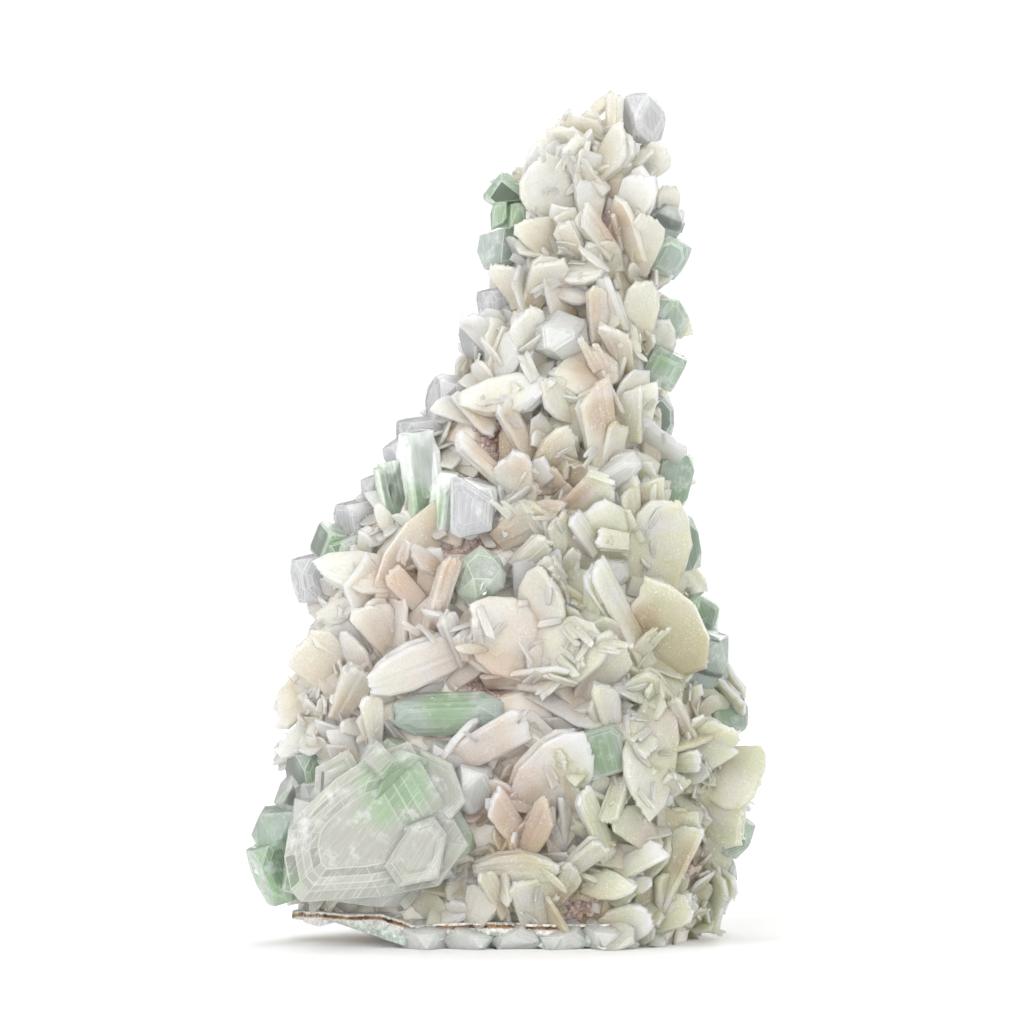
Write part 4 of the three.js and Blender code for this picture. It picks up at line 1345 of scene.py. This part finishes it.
def open_faces(blades):
    """The faces of some blades, with how much room each point has for fine blades."""
    tree = search_tree(blades)
    points, faces, room, reach = [], [], [], []
    for piece in blades:
        start = len(points)
        for vertex in piece.data.vertices:
            point = vertex.co / MM
            x, y, _, _ = section_at(point.z)
            outward = Vector((point.x - x, point.y - y, 0)).normalized()
            free = (vertex.normal.dot(outward) > FINE_FACING
                    and noise.noise(point * 0.1) > FINE_CLUSTER
                    and in_pocket(point) == 0 and not near_crystal(point, FINE_MARGIN)
                    and not covered(point + outward * OFF_FACE, outward, tree))
            points.append(vertex.co.copy())
            room.append(float(free))
            reach.append(1 - FINE_FLANK * outward.x ** 4)
        faces += [[start + i for i in f.vertices] for f in piece.data.polygons]
    mesh = bpy.data.meshes.new("open_faces")
    mesh.from_pydata(points, [], faces)
    hold(mesh, "fine_room", room)
    hold(mesh, "fine_reach", reach)
    return mesh


def druse_lumps():
    """Little grains of druse, each a lump with flat faces."""
    grains = []
    for i, size in enumerate(GRAIN_SIZES):
        mesh = bpy.data.meshes.new(f"grain_{i}")
        shape = bmesh.new()
        bmesh.ops.create_icosphere(shape, subdivisions=1, radius=size * MM)
        dice = random.Random(i)
        for vertex in shape.verts:
            vertex.co *= dice.uniform(*GRAIN_UNEVEN)
        shape.to_mesh(mesh)
        shape.free()
        grains.append(bpy.data.objects.new(f"grain_{i}", mesh))
    return grains


# ---------- apophyllite ----------
# Crystals by piece: x, y, z of the middle, breadth, depth, height along the c axis, its
# direction from +X, its lean to the front, the turn about it, how far the pyramid cuts the
# corners (0 none, 1 to a point) and how green it is.
CRYSTALS = {
    "tip": [(34.6, -3, 205, 8.6, 8.6, 12.4, 96, 6, 25, 0.5, 0.1)],
    "left_column": [
        (1.4, -4, 186.6, 9, 9, 8.6, 64, 18, 28, 0.18, 0.9),
        (2.8, -3, 180.4, 9.4, 9, 8.6, 92, 8, 12, 0.16, 1.0),
        (0, -2, 172, 11, 10, 10.4, 95, 4, 8, 0.14, 0.1),
    ],
    "pyramid": [(14, -17.5, 150.4, 10.5, 10, 13, 186, 32, 45, 0.62, 0)],
    "left_ledge": [
        (-1, -2, 158, 9, 9, 9.6, 100, 6, 15, 0.2, 0),
        (-5.6, -1, 150.4, 8, 8, 9, 104, 5, 30, 0.25, 0),
    ],
    "lilac_shelf": [
        (-12.6, -5, 134.4, 11, 10, 11.4, 78, 14, 24, 0.3, 0),
        (-20.6, -4, 126.2, 11, 10, 8, 96, 8, 10, 0.25, 0.1),
        (-25, -3, 121.2, 7, 7, 8, 120, 6, 30, 0.25, 0),
    ],
    "prism_group": [
        (-20.4, -13.5, 113.6, 8.6, 8, 27, 97, 6, 22, 0.5, 0.15),
        (-14.4, -16.5, 107.4, 7, 6.6, 19, 84, 10, 40, 0.55, 0.2),
        (-26.6, -10.5, 109, 7.4, 7, 20, 103, 4, 10, 0.5, 0.9),
        (-7.8, -18, 108, 9.4, 8, 14, 70, 16, 20, 0.45, 0.0),
    ],
    "left_edge": [
        (-31.2, -3, 111.4, 6.4, 7, 9.6, 108, 4, 20, 0.4, 0),
        (-35.6, -3, 105, 10, 9.6, 9.6, 100, 6, 30, 0.2, 0.1),
        (-42.4, -4, 99, 8, 8, 8, 68, 16, 30, 0.12, 0.9),
        (-47.2, -2, 90.6, 9.4, 9.4, 11, 100, 5, 20, 0.3, 0.1),
    ],
    "well_formed": [(-5.6, -24.6, 91, 12.4, 12.4, 13, 94, 40, 45, 0.62, 0.7)],
    "sparkling_bar": [(27.4, -20.6, 116.6, 5, 5, 14, 32, 12, 30, 0.5, 0)],
    "right_top": [
        (39.4, 1, 180, 9, 9, 8.4, 70, 4, 20, 0.35, 0.1),
        (40.4, 0, 171.4, 9, 9, 9.4, 60, 5, 15, 0.25, 0.5),
    ],
    "right_shoulder": [(40, 0, 155.4, 9, 9, 9.6, 84, 4, 30, 0.35, 0.5)],
    "right_wedge": [(39.4, -2, 143.4, 9, 9, 9, 62, 8, 10, 0.16, 0.6)],
    "right_grey": [(37, 1, 130.6, 8.4, 9, 10.6, 92, 4, 20, 0.3, 0.1)],
    "right_waist": [(41, 0, 115.4, 9, 9, 14, 76, 6, 25, 0.3, 0.6)],
    "right_green": [(43.4, -1, 98.8, 9, 9, 13, 100, 4, 15, 0.35, 0.6)],
    "dome": [
        (47.6, -3, 81, 10, 10, 9.6, 110, 6, 30, 0.45, 0.9),
        (46.6, -9, 70.4, 14, 15, 18, 66, 14, 35, 0.5, 0.4),
        (54.2, -4, 57, 9.6, 9.6, 12, 118, 6, 30, 0.4, 0.7),
    ],
    "right_point": [(58.4, 0, 43.4, 10, 10, 8.6, 80, 4, 20, 0.3, 0.6)],
    "right_foot": [
        (56, 1, 27, 10, 10, 10, 60, 4, 15, 0.35, 0.5),
        (52, 2, 17.4, 10, 9, 9, 110, 4, 15, 0.3, 0.1),
    ],
    "corner": [
        (-55.2, -8, 27.4, 12, 12, 12, 96, 10, 38, 0.5, 0.45),
        (-54, -6, 18.8, 15, 14, 15, 112, 5, 15, 0.25, 1.0),
    ],
    "left_dark": [(-47.4, -9, 42.4, 10, 10, 11, 100, 8, 30, 0.3, 0.7)],
    "great_group": [
        (-37.6, -24.6, 23.4, 31, 15, 23, 82, 4, 6, 0.3, 0.15),
        (-25.6, -27, 39.4, 16, 12, 21, 66, 8, 28, 0.34, 1.0),
        (-18.4, -31, 25, 11, 10.5, 16, 110, 16, 45, 0.5, 0.0),
        (-18, -28.4, 32.4, 13, 8, 24, 118, 8, 14, 0.3, 0.8),
        (-8, -28, 39.6, 8.6, 8, 11, 76, 18, 28, 0.45, 0.0),
    ],
    "long_bar": [(-13.6, -27.4, 57.6, 8, 7, 27, 2, 6, 34, 0.55, 0.2)],
    "green_patch": [(23.4, -32, 48.4, 11, 5, 11.6, 104, 14, 12, 0.22, 0.8)],
    "back_high": [
        (22, 12, 176, 12, 10, 13, 80, -14, 20, 0.25, 0.3),
        (30, 13, 166, 11, 11, 11, 110, -10, 35, 0.2, 0.5),
    ],
    "back_shoulder": [
        (2, 17, 140, 14, 12, 15, 96, -16, 30, 0.3, 0.6),
        (13, 19, 131, 13, 11, 13, 70, -12, 15, 0.2, 0.4),
    ],
    "back_right": [
        (33, 20, 104, 14, 13, 17, 104, -12, 24, 0.3, 0.6),
        (29, 23, 91, 13, 12, 13, 74, -16, 38, 0.22, 0.5),
    ],
    "back_left": [(-27, 22, 84, 15, 13, 17, 82, -14, 32, 0.3, 0.4)],
    "back_low": [
        (22, 30, 47, 17, 14, 19, 96, -12, 30, 0.28, 0.7),
        (35, 26, 37, 14, 13, 14, 66, -14, 16, 0.2, 0.5),
    ],
    "back_foot": [
        (-29, 28, 27, 16, 13, 18, 104, -12, 22, 0.3, 0.5),
        (-40, 24, 19, 13, 12, 13, 72, -10, 34, 0.2, 0.6),
    ],
}

# Lesser crystals on the faces of the others and in the hollows, in the same order.
LESSER_CRYSTALS = (
    (-30.6, -30.6, 46.4, 8, 5, 7.4, 60, 20, 10, 0.14, 0),
    (-14.6, -27, 44, 9.6, 6, 12, 72, 18, 20, 0.3, 0.3),
    (27, -20.4, 92.4, 6, 6, 6, 80, 16, 20, 0.35, 0.2),
    (-38.4, -10.6, 96.4, 7.6, 7, 8, 110, 10, 15, 0.3, 0.6),
    (-46, -14.4, 37.4, 7, 7, 6, 100, 10, 20, 0.3, 0.1),
    (-50.6, -7, 36.2, 10, 9, 9, 60, 6, 15, 0.35, 0.5),
    (-37, 20, 73, 12, 12, 12, 112, -10, 14, 0.2, 0.5),
    (13, 30, 35, 12, 11, 12, 120, -14, 40, 0.25, 0.3),
    (-19, -25.3, 1.4, 11, 11, 9, 90, 20, 45, 0.35, 0.2),
    (-8, -26, 1.4, 11, 11, 8.6, 76, 20, 66, 0.35, 0.4),
    (3, -25.4, 1.4, 11, 11, 10, 118, 20, 87, 0.35, 0.3),
    (14, -26, 1.4, 11, 11, 8, 102, 20, 19, 0.35, 0.5),
    (25, -25.4, 1.4, 11, 11, 9.4, 86, 20, 40, 0.35, 0.3),
)

# Crystals with faces of their own form, by piece: the corners of each.
OWN_CORNERS = {
    "left_column": (
        ((-0.6, -8.5, 189.25), (-0.7, -7.55, 191.45), (1, -6.55, 191.4), (-5.2, -6.58, 186),
         (-4.9, -7.43, 184.4), (-3.6, -8.08, 185.05), (4.2, -5.97, 188.5), (3.9, -7.4, 185.8),
         (3.9, -7.19, 184.6), (-0.4, -7.62, 184.4), (-2.1, -7.71, 183.9), (-0.7, -1, 191.2),
         (4.2, -1, 188.5), (4.2, -1, 184), (-2, -1, 183), (-5.2, -1, 185.6)),
        ((-2.4, -7.3, 182.8), (-0.6, -7.7, 183.9), (0.5, -8, 183.4), (0.5, -8, 180.5),
         (-0.4, -7.8, 179.1), (-2.8, -7.2, 178.1), (-2.8, -6.7, 183.3), (-0.7, -7.1, 184.8),
         (0.8, -7.4, 184.1), (0.8, -7.4, 180.3), (-0.3, -7.1, 178.6), (-3.2, -6.4, 177.2),
         (-3.4, -4, 181.2), (-3.2, -4, 177.2), (0.6, -4, 184), (0.6, -4, 178.6),
         (-2.8, -4, 183.2)),
        ((2, -8.2, 183), (3.8, -8.2, 183.4), (5.4, -7.8, 182.2), (5, -7.9, 180.6),
         (5.6, -7.8, 178.4), (1.8, -8.3, 178.2), (1.6, -7.6, 183.6), (3.9, -7.6, 184),
         (6.3, -7, 182.7), (6.6, -7, 177.8), (1.2, -7.6, 177.5), (1.4, -4, 183.6),
         (6.3, -4, 182.7), (6.6, -4, 177.8), (1.2, -4, 177.5)),
        ((-2.6, -5.4, 178), (5.6, -5.4, 178), (5.4, -5.4, 183), (-2.2, -5.4, 183.4),
         (-2.6, -0.6, 178), (5.6, -0.6, 178), (5.4, -0.6, 183), (-2.2, -0.6, 183.4)),
        ((0.1, -8, 177.6), (-0.7, -8, 169.4), (-4.9, -6.4, 167.35), (-6.8, -5.46, 172.05),
         (-6.05, -5.61, 175.9), (3.9, -5.35, 177.7), (4, -4.76, 170.1), (0.8, -4.6, 167.9),
         (-0.7, -4.4, 166.9), (0.1, 1, 177.8), (3.9, 1, 178), (-5.5, 1, 176), (-6.5, 1, 172),
         (-4.5, 1, 168), (4, 1, 170), (0, 1, 167.2)),
    ),
    "well_formed": (
        ((-8.9, -31, 94.3), (-6.45, -31, 96.6), (-2.6, -31, 95.75), (-0.7, -31, 93.3),
         (-2.6, -31, 90.5), (-7.5, -31, 90.8), (-6.6, -29.4, 86), (-12.1, -26.5, 91.9),
         (-10, -27, 95.75), (-5.75, -27, 98.9), (-1.2, -27, 96.4), (0.75, -26.5, 91.9),
         (-0.15, -27, 88.4), (-7.15, -26, 82.05), (-11.4, -27, 87), (-11.5, -19, 92),
         (-9.5, -19, 95.5), (-5.75, -19, 98), (-1.5, -19, 96), (0.5, -19, 92),
         (-0.5, -19, 88.5), (-7, -19, 83), (-11, -19, 87)),
    ),
}
# Flat crystals: corners x and z as seen, y in the middle of the front face, how y changes
# with x and with z, thickness, direction of the ribs, how green, and material.
FLAT_CRYSTALS = (
    (((-23, 51.2), (-8.5, 25.8), (-15.8, 15.8), (-30, 13.2), (-49.5, 12), (-52, 15),
      (-53.5, 23), (-52.4, 29.6), (-49.5, 34.2), (-41, 42), (-31, 48.6)),
     -36, 0.05, 0.04, 3, 52, 0.12, CRYSTAL_WARM),
    (((-22.7, 31), (-17, 33), (-13.7, 28.7), (-16, 17.8), (-25.5, 15.8), (-29.2, 20.8)),
     -38.6, -0.05, 0.1, 3, 60, 0, CRYSTAL_WARM),
    (((-34.7, 46.6), (-29.6, 41.6), (-25.8, 46.4), (-31, 51.6)),
     -37.4, 0.1, -0.1, 2.4, 40, 0, CRYSTAL_WARM),
    (((-20.6, 49.4), (-12.6, 45.6), (-9, 36.4), (-13, 31.8), (-20, 36)),
     -34, -0.1, 0.1, 2.4, 110, 0.4, CRYSTAL_WARM),
    (((-46, 44.6), (-38, 49), (-33.4, 42), (-38, 35.6), (-46.4, 37)),
     -32, 0.15, 0.1, 3, 20, 0, CRYSTAL_WARM),
    (((-13.1, 115.4), (-10.8, 115.7), (-2.25, 109.9), (-2.95, 102.4), (-10.85, 100.5),
      (-13.1, 102)), -25, 0.1, 0.1, 3, 80, 0, CRYSTAL_LILAC),
)
# Their bands: how many, how wide as a share of the breadth, how they rise, and how steep
# each step is.
BANDS = 4
BAND_WIDTH = (0.05, 0.16)
BAND_RISE = (-0.2, 0.3)
BAND_EDGE = 0.012
# Faces that stand out from the front, near an x and z: their painted shade, from -1 for one
# painted dark as if seen through to the shade behind, to 1.3 for a silky white one painted at
# its lightest.
PAINTED_FACE_SHADES = (
    (0.4, 186, -1), (-43.6, 100, -0.7), (54.7, 18, -0.7), (-48.2, 42, -0.7), (27, 92.4, -0.7),
    (-4.8, 93.6, -0.15), (39, 131, -0.6), (0.6, 173.6, -0.1), (-54, 18.8, -0.3),
    (44.5, 99, -0.3), (48, 81, -0.3), (56, 27, -0.2), (-19, 113.4, 1.3), (-26, 109, 1.3),
    (-14, 106, 1.2),
)
STRIKING_REACH = 4
STRIKING_FACING = -0.3
# The finish of each piece. The others are green.
FINISHES = {
    **dict.fromkeys(("pyramid", "well_formed", "sparkling_bar", "great_group", "back_high",
                     "back_left"), CRYSTAL_PALE),
    **dict.fromkeys(("tip", "left_ledge", "lilac_shelf", "left_edge"), CRYSTAL_LILAC),
    "prism_group": CRYSTAL_SILKY,
}
# The slope of apophyllite's pyramid to its base, how close corners become one, and how
# wide the bevel along the edges is, which carries a painted white highlight.
PYRAMID_SLOPE = math.radians(60.3)
WELD = 0.01
EDGE_WEAR = 0.13
# The painted value of a bevelled edge, which paints a white highlight on it. Those of the
# faces are from 0 to 1.
HIGHLIT_EDGE = 2
# Growth steps: the least area of a face that may carry them, how often it does, how many
# are tried on it, how far each is set back and how far it rises.
TERRACE_FROM = 12
TERRACE_ODDS = 0.7
TERRACES = 2
TERRACE_RIM = (0.2, 0.8)
TERRACE_RISE = (0.06, 0.2)
# Wisps inside a crystal: how many at least, how many more for each volume, how far from
# its middle, their reach as a share of its breadth up to a breadth, and their outline.
VEILS_LEAST = 4
VEILS = 8
VEILED_VOLUME = 1500
VEIL_ROOM = 0.36
VEIL_REACH = (0.06, 0.2)
VEILED_BREADTH = 14
VEIL_TILT = 0.12
VEIL_LONGER = (1, 2.2)
VEIL_RAGGED = (0.5, 1.1)
VEIL_CORNERS = 7
VEIL_THICKNESS = 0.05


def crystal_planes(breadth, depth, height, cut):
    """The faces of a crystal: a square prism with flat ends and a pyramid at each end."""
    planes = []
    for sign in (-1, 1):
        planes += [((sign, 0, 0), height / 2), ((0, sign, 0), breadth / 2),
                   ((0, 0, sign), depth / 2)]
    rise, run = math.cos(PYRAMID_SLOPE), math.sin(PYRAMID_SLOPE) / math.sqrt(2)
    across = run * (breadth + depth) / 2
    for x, y, z in itertools.product((-1, 1), repeat=3):
        planes.append(((rise * x, run * y, run * z), rise * height / 2 + across * (1 - cut)))
    return [(Vector(normal), away) for normal, away in planes]


def corners_inside(planes):
    corners = []
    for trio in itertools.combinations(planes, 3):
        rows = Matrix([normal for normal, _ in trio])
        if abs(rows.determinant()) > 1e-6:
            corner = rows.inverted() @ Vector([away for _, away in trio])
            if all(normal.dot(corner) < away + 1e-4 for normal, away in planes):
                corners.append(corner)
    return corners


def add_terraces(shape, dice):
    """Growth steps: broad faces carry one or two low flat plates, set back from the edge."""
    for _ in range(TERRACES):
        for face in [f for f in shape.faces if f.calc_area() > TERRACE_FROM]:
            room = face.calc_area() / face.calc_perimeter()
            if dice.random() < TERRACE_ODDS:
                bmesh.ops.inset_individual(
                    shape, faces=[face], thickness=dice.uniform(*TERRACE_RIM) * room,
                    depth=dice.uniform(*TERRACE_RISE), use_even_offset=True)


def face_outward(shape):
    bmesh.ops.recalc_face_normals(shape, faces=shape.faces[:])
    if shape.calc_volume(signed=True) < 0:
        bmesh.ops.reverse_faces(shape, faces=shape.faces[:])


def crystal_mesh(row, dice):
    """One crystal with bevelled edges painted with a white highlight, and growth steps, in its
    place on the specimen.
    """
    x, y, z, breadth, depth, height, direction, lean, turn, cut, green = row
    turned = facing_front(direction, lean, turn)
    corners = corners_inside(crystal_planes(breadth, depth, height, cut))
    mesh = finished_crystal(hull(corners), Matrix.Translation((x, y, z)) @ turned, dice)
    return with_grain(mesh, turned, green)


def with_grain(mesh, turned, green):
    """Gives each face corner its place along its own crystal, and each face its green."""
    own = turned.inverted()
    places = [own @ mesh.vertices[corner.vertex_index].co / MM for corner in mesh.loops]
    hold_grain(mesh, places, "CORNER")
    hold(mesh, "green", [green] * len(mesh.polygons), "FACE")
    return mesh


def hull(corners):
    """The solid with flat faces that spans some corners."""
    shape = bmesh.new()
    for corner in corners:
        shape.verts.new(corner)
    bmesh.ops.remove_doubles(shape, verts=shape.verts[:], dist=WELD)
    bmesh.ops.convex_hull(shape, input=shape.verts[:])
    bmesh.ops.dissolve_limit(shape, angle_limit=math.radians(1), verts=shape.verts[:],
                             edges=shape.edges[:])
    face_outward(shape)
    return shape


def flat_crystal(index, row):
    """A flat crystal with bands of growth round its broad face, and ribs across it."""
    corners, y, by_x, by_z, thick, direction, green, material = row
    dice = random.Random(index)
    count = len(corners)
    middle = Vector((sum(x for x, _ in corners), 0, sum(z for _, z in corners))) / count
    rings = [(0.95, thick), (1, thick * 0.6), (1, 0.4), (0.985, 0)]
    share, rise = rings[-1]
    for _ in range(BANDS):
        share, rise = share - dice.uniform(*BAND_WIDTH), rise - dice.uniform(*BAND_RISE)
        rings += [(share, rings[-1][1]), (share - BAND_EDGE, rise)]
    shape = bmesh.new()
    circles = []
    for share, back in rings:
        circle = []
        for x, z in corners:
            px, pz = middle.x + (x - middle.x) * share, middle.z + (z - middle.z) * share
            front = y + by_x * (px - middle.x) + by_z * (pz - middle.z)
            circle.append(shape.verts.new((px, front + back, pz)))
        circles.append(circle)
    for low, high in zip(circles, circles[1:]):
        for k in range(count):
            after = (k + 1) % count
            shape.faces.new((low[k], low[after], high[after], high[k]))
    shape.faces.new(circles[0])
    shape.faces.new(circles[-1])
    face_outward(shape)
    mesh = finished_crystal(shape, Matrix(), dice, terraces=False)
    with_grain(mesh, facing_front(direction, 0, 0), green)
    return dressed_crystal(f"flat_{index}", mesh, material)


def finished_crystal(shape, place, dice, terraces=True):
    """A mesh of a crystal with growth steps, a painted shade for each face, and bevelled edges
    marked for a painted white highlight.
    """
    if terraces:
        add_terraces(shape, dice)
    # Painted shade: a random brightness for each face.
    facet_shade = shape.faces.layers.float.new("facet_shade")
    for face in shape.faces:
        face[facet_shade] = dice.random()
    # Bevelled edges, marked for a painted white highlight.
    highlit_edges = bmesh.ops.bevel(shape, geom=shape.edges[:], offset=EDGE_WEAR, segments=1,
                           affect="EDGES", clamp_overlap=True)
    for face in highlit_edges["faces"]:
        face[facet_shade] = HIGHLIT_EDGE
    face_outward(shape)
    mesh = bpy.data.meshes.new("crystal")
    shape.to_mesh(mesh)
    shape.free()
    mesh.transform(Matrix.Scale(MM, 4) @ place)
    return mesh


def crystal_piece(name, rows, material):
    """The crystals of one piece, grown into each other."""
    dice = random.Random(name)
    meshes = []
    for own in OWN_CORNERS.get(name, ()):
        middle = sum((Vector(corner) for corner in own), Vector()) / len(own)
        row = min(rows, key=lambda r: (Vector(r[:3]) - middle).length)
        mesh = finished_crystal(hull(own), Matrix(), dice, terraces=False)
        meshes.append(with_grain(mesh, facing_front(*row[6:9]), row[10]))
    meshes = meshes or [crystal_mesh(row, dice) for row in rows]
    return dressed_crystal(name, joined(meshes), material)


def paint_face_shades(mesh):
    """Sets the painted shade value of the broadest face near each place in the list of painted
    face shades.
    """
    facets = mesh.attributes["facet_shade"].data
    for x, z, value in PAINTED_FACE_SHADES:
        near = [f for f in mesh.polygons if f.normal.y < STRIKING_FACING
                and math.hypot(f.center.x / MM - x, f.center.z / MM - z) < STRIKING_REACH]
        if near:
            facets[max(near, key=lambda f: f.area).index].value = value


def dressed_crystal(name, mesh, material):
    paint_face_shades(mesh)
    finish_mesh(mesh, material, flat=True)
    return placed(name, mesh)


def veils(rows):
    """White wisps inside the crystals: thin flakes across or along the c axis."""
    points, faces = [], []
    dice = random.Random("veils")
    n = VEIL_CORNERS
    for x, y, z, breadth, depth, height, direction, lean, turn, _, _ in rows:
        place = Matrix.Translation((x, y, z)) @ facing_front(direction, lean, turn)
        more = round(VEILS * height * breadth * depth / VEILED_VOLUME)
        for _ in range(VEILS_LEAST + more):
            middle = Vector([dice.uniform(-VEIL_ROOM, VEIL_ROOM) * size
                             for size in (height, breadth, depth)])
            reach = dice.uniform(*VEIL_REACH) * min(breadth, depth, VEILED_BREADTH)
            spin = dice.uniform(0, 2 * math.pi)
            across = dice.choice((0, math.pi / 2)) + dice.gauss(0, VEIL_TILT)
            tilt = Euler((spin, across, dice.gauss(0, VEIL_TILT))).to_matrix()
            longer = dice.uniform(*VEIL_LONGER)
            start = len(points)
            for side in (-VEIL_THICKNESS / 2, VEIL_THICKNESS / 2):
                for k in range(n):
                    turned = 2 * math.pi * k / n
                    out = reach * dice.uniform(*VEIL_RAGGED)
                    up = out * longer * math.sin(turned)
                    edge = Vector((side, out * math.cos(turned), up))
                    points.append(place @ (middle + tilt @ edge))
            low, high = range(start, start + n), range(start + n, start + 2 * n)
            faces += [list(reversed(low)), list(high)]
            faces += [[low[k], low[(k + 1) % n], high[(k + 1) % n], high[k]] for k in range(n)]
    mesh = new_mesh("apophyllite_veils", points, faces)
    finish_mesh(mesh, VEIL, flat=True)
    return placed("apophyllite_veils", mesh)


# ---------- stage, light and camera ----------
# The camera looks level from the front, at a frame of this width round its aim.
FRAME_MM = 256
AIM = Vector((2, 0, 107)) * MM
CAMERA_AWAY = 1.4
SENSOR = 36
FLOOR_RADIUS = 4
FLOOR_WHITE = (0.96, 0.96, 0.96, 1)
# The room's own light, and its windows: towards where, half width in degrees, brightness.
ROOM_LIGHT = 0.45
WINDOWS = (
    ((-0.55, -0.9, 0.65), 24, 2.1),
    ((0.1, -1, 0.12), 20, 1.25),
    ((0.75, -0.85, 0.25), 15, 2.0),
    ((-0.2, 0.25, 1), 20, 1.6),
    ((0.5, 0.9, 0.5), 24, 2.2),
    ((-0.8, 0.6, 0.3), 12, 1.5),
    ((-1, -0.35, 0.2), 14, 1.3),
    ((-0.15, -1, 0.35), 4, 16),
    ((0.4, -1, 0.8), 4, 16),
    ((-1, -0.5, 0.25), 4, 16),
    ((0.9, -0.6, 0.6), 4, 16),
    ((-0.5, -0.5, 1), 4, 16),
    ((0.35, -1, 0.0), 4, 16),
    ((-0.6, -1, -0.05), 4, 16),
    ((0.2, 1, 0.6), 4, 16),
)
# How soft a window's edge is, in degrees, and the brightness behind the object.
WINDOW_EDGE = 1
BACKDROP = 1.05


def stage():
    mesh = bpy.data.meshes.new("floor")
    shape = bmesh.new()
    bmesh.ops.create_circle(shape, cap_ends=True, radius=FLOOR_RADIUS, segments=96)
    shape.to_mesh(mesh)
    shape.free()
    material, tree, shader = new_material("floor_white")
    give(tree, shader, {"Base Color": FLOOR_WHITE, "Roughness": 0.9})
    mesh.materials.append(material)
    in_scene("floor", mesh)


def studio():
    """A dim room with wide soft windows, and white where the camera looks past the object."""
    world = bpy.data.worlds.new("studio")
    bpy.context.scene.world = world
    world.use_nodes = True
    tree = world.node_tree
    tree.nodes.clear()
    towards = add_node(tree, "ShaderNodeTexCoord").outputs["Generated"]
    bright = ROOM_LIGHT
    for place, reach, strength in WINDOWS:
        facing = vector_math(tree, "DOT_PRODUCT", towards, Vector(place).normalized())
        edges = [math.cos(math.radians(reach + soft)) for soft in (WINDOW_EDGE, -WINDOW_EDGE)]
        bright = math_node(tree, "ADD", bright, remap(tree, facing, *edges, 0, strength))
    white = (1, 1, 1, 1)
    room, backdrop = (
        add_node(tree, "ShaderNodeBackground", inputs={"Color": white, "Strength": strength})
        for strength in (bright, BACKDROP))
    seen = add_node(tree, "ShaderNodeLightPath").outputs["Is Camera Ray"]
    both = add_node(tree, "ShaderNodeMixShader",
                    inputs={0: seen, 1: room.outputs[0], 2: backdrop.outputs[0]})
    add_node(tree, "ShaderNodeOutputWorld", inputs={"Surface": both.outputs[0]})


def front_camera():
    data = bpy.data.cameras.new("camera")
    data.sensor_width = SENSOR
    data.lens = SENSOR * CAMERA_AWAY / (FRAME_MM * MM)
    data.clip_end = 20
    camera = in_scene("camera", data)
    camera.location = AIM - Vector((0, CAMERA_AWAY, 0))
    camera.rotation_euler = (math.pi / 2, 0, 0)
    bpy.context.scene.camera = camera
    bpy.context.scene.view_settings.view_transform = "Standard"


# ---------- assembly ----------
# What grows all over, with the inputs of its tree: spacing in metres and angles in radians.
SMALL_BLADES = {
    "Room": "blade_room", "Spacing": 3.9 * MM, "Density": 90000.0, "Splay_Least": 1.05,
    "Splay_Most": 1.45, "Roll_Most": 0.6, "Size_Least": 0.5, "Size_Most": 1.1,
    "Reach": "reach", "Seed": 3}
FILLING = {
    "Room": "filling_room", "Spacing": 2.9 * MM, "Density": 250000.0, "Splay_Least": 0.95,
    "Splay_Most": 1.4, "Roll_Most": 0.8, "Size_Least": 0.3, "Size_Most": 0.52,
    "Reach": "full_reach", "Seed": 11}
FINE_BLADES = {
    "Room": "fine_room", "Spacing": 3.2 * MM, "Density": 220000.0, "Splay_Least": 1.32,
    "Splay_Most": 1.52, "Roll_Most": 0.4, "Size_Least": 0.5, "Size_Most": 1.1,
    "Reach": "fine_reach", "Seed": 7}
DRUSE_GRAINS = {
    "Room": "druse_room", "Spacing": 0.75 * MM, "Density": 1300000.0, "Splay_Least": 0.0,
    "Splay_Most": 1.0, "Roll_Most": 3.0, "Size_Least": 0.7, "Size_Most": 1.3,
    "Reach": "full_reach", "Seed": 5}


def settle(piece, slot_name, *nodes):
    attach(piece, "root")
    if nodes:
        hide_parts(*nodes)


CRYSTAL_FACES = search_tree([node for name, node in frame["nodes"].items() if name != MAIN])
stage()
studio()
front_camera()
leading = [leading_sheaves(group, rows) for group, rows in BLADES.items()] + [side_sheaves()]
core = rock_core(leading)
settle(core, "matrix", MAIN)
settle(rock_edge(), "matrix", MAIN)
for piece in leading:
    settle(piece, "stilbite", MAIN)
settle(scatter("stilbite_small_blades", core.data, small_sheaves(), STILBITE, **SMALL_BLADES),
       "stilbite", MAIN)
settle(scatter("stilbite_filling", core.data, small_sheaves(), STILBITE, **FILLING),
       "stilbite", MAIN)
settle(scatter("stilbite_fine_blades", open_faces(leading), fine_sheaves(), STILBITE,
               **FINE_BLADES), "stilbite", MAIN)
settle(scatter("druse_grains", core.data, druse_lumps(), DRUSE, **DRUSE_GRAINS),
       "matrix", MAIN)
for name, rows in CRYSTALS.items():
    finish = FINISHES.get(name, CRYSTAL_GREEN)
    settle(crystal_piece(name, rows, finish), "apophyllite", "apophyllite_" + name)
crystal_rows = [row for rows in CRYSTALS.values() for row in rows] + list(LESSER_CRYSTALS)
settle(veils(crystal_rows), "apophyllite")
for i, row in enumerate(FLAT_CRYSTALS):
    settle(flat_crystal(i, row), "apophyllite")
for i, row in enumerate(LESSER_CRYSTALS):
    settle(crystal_piece(f"lesser_{i}", [row], CRYSTAL_PALE), "apophyllite")
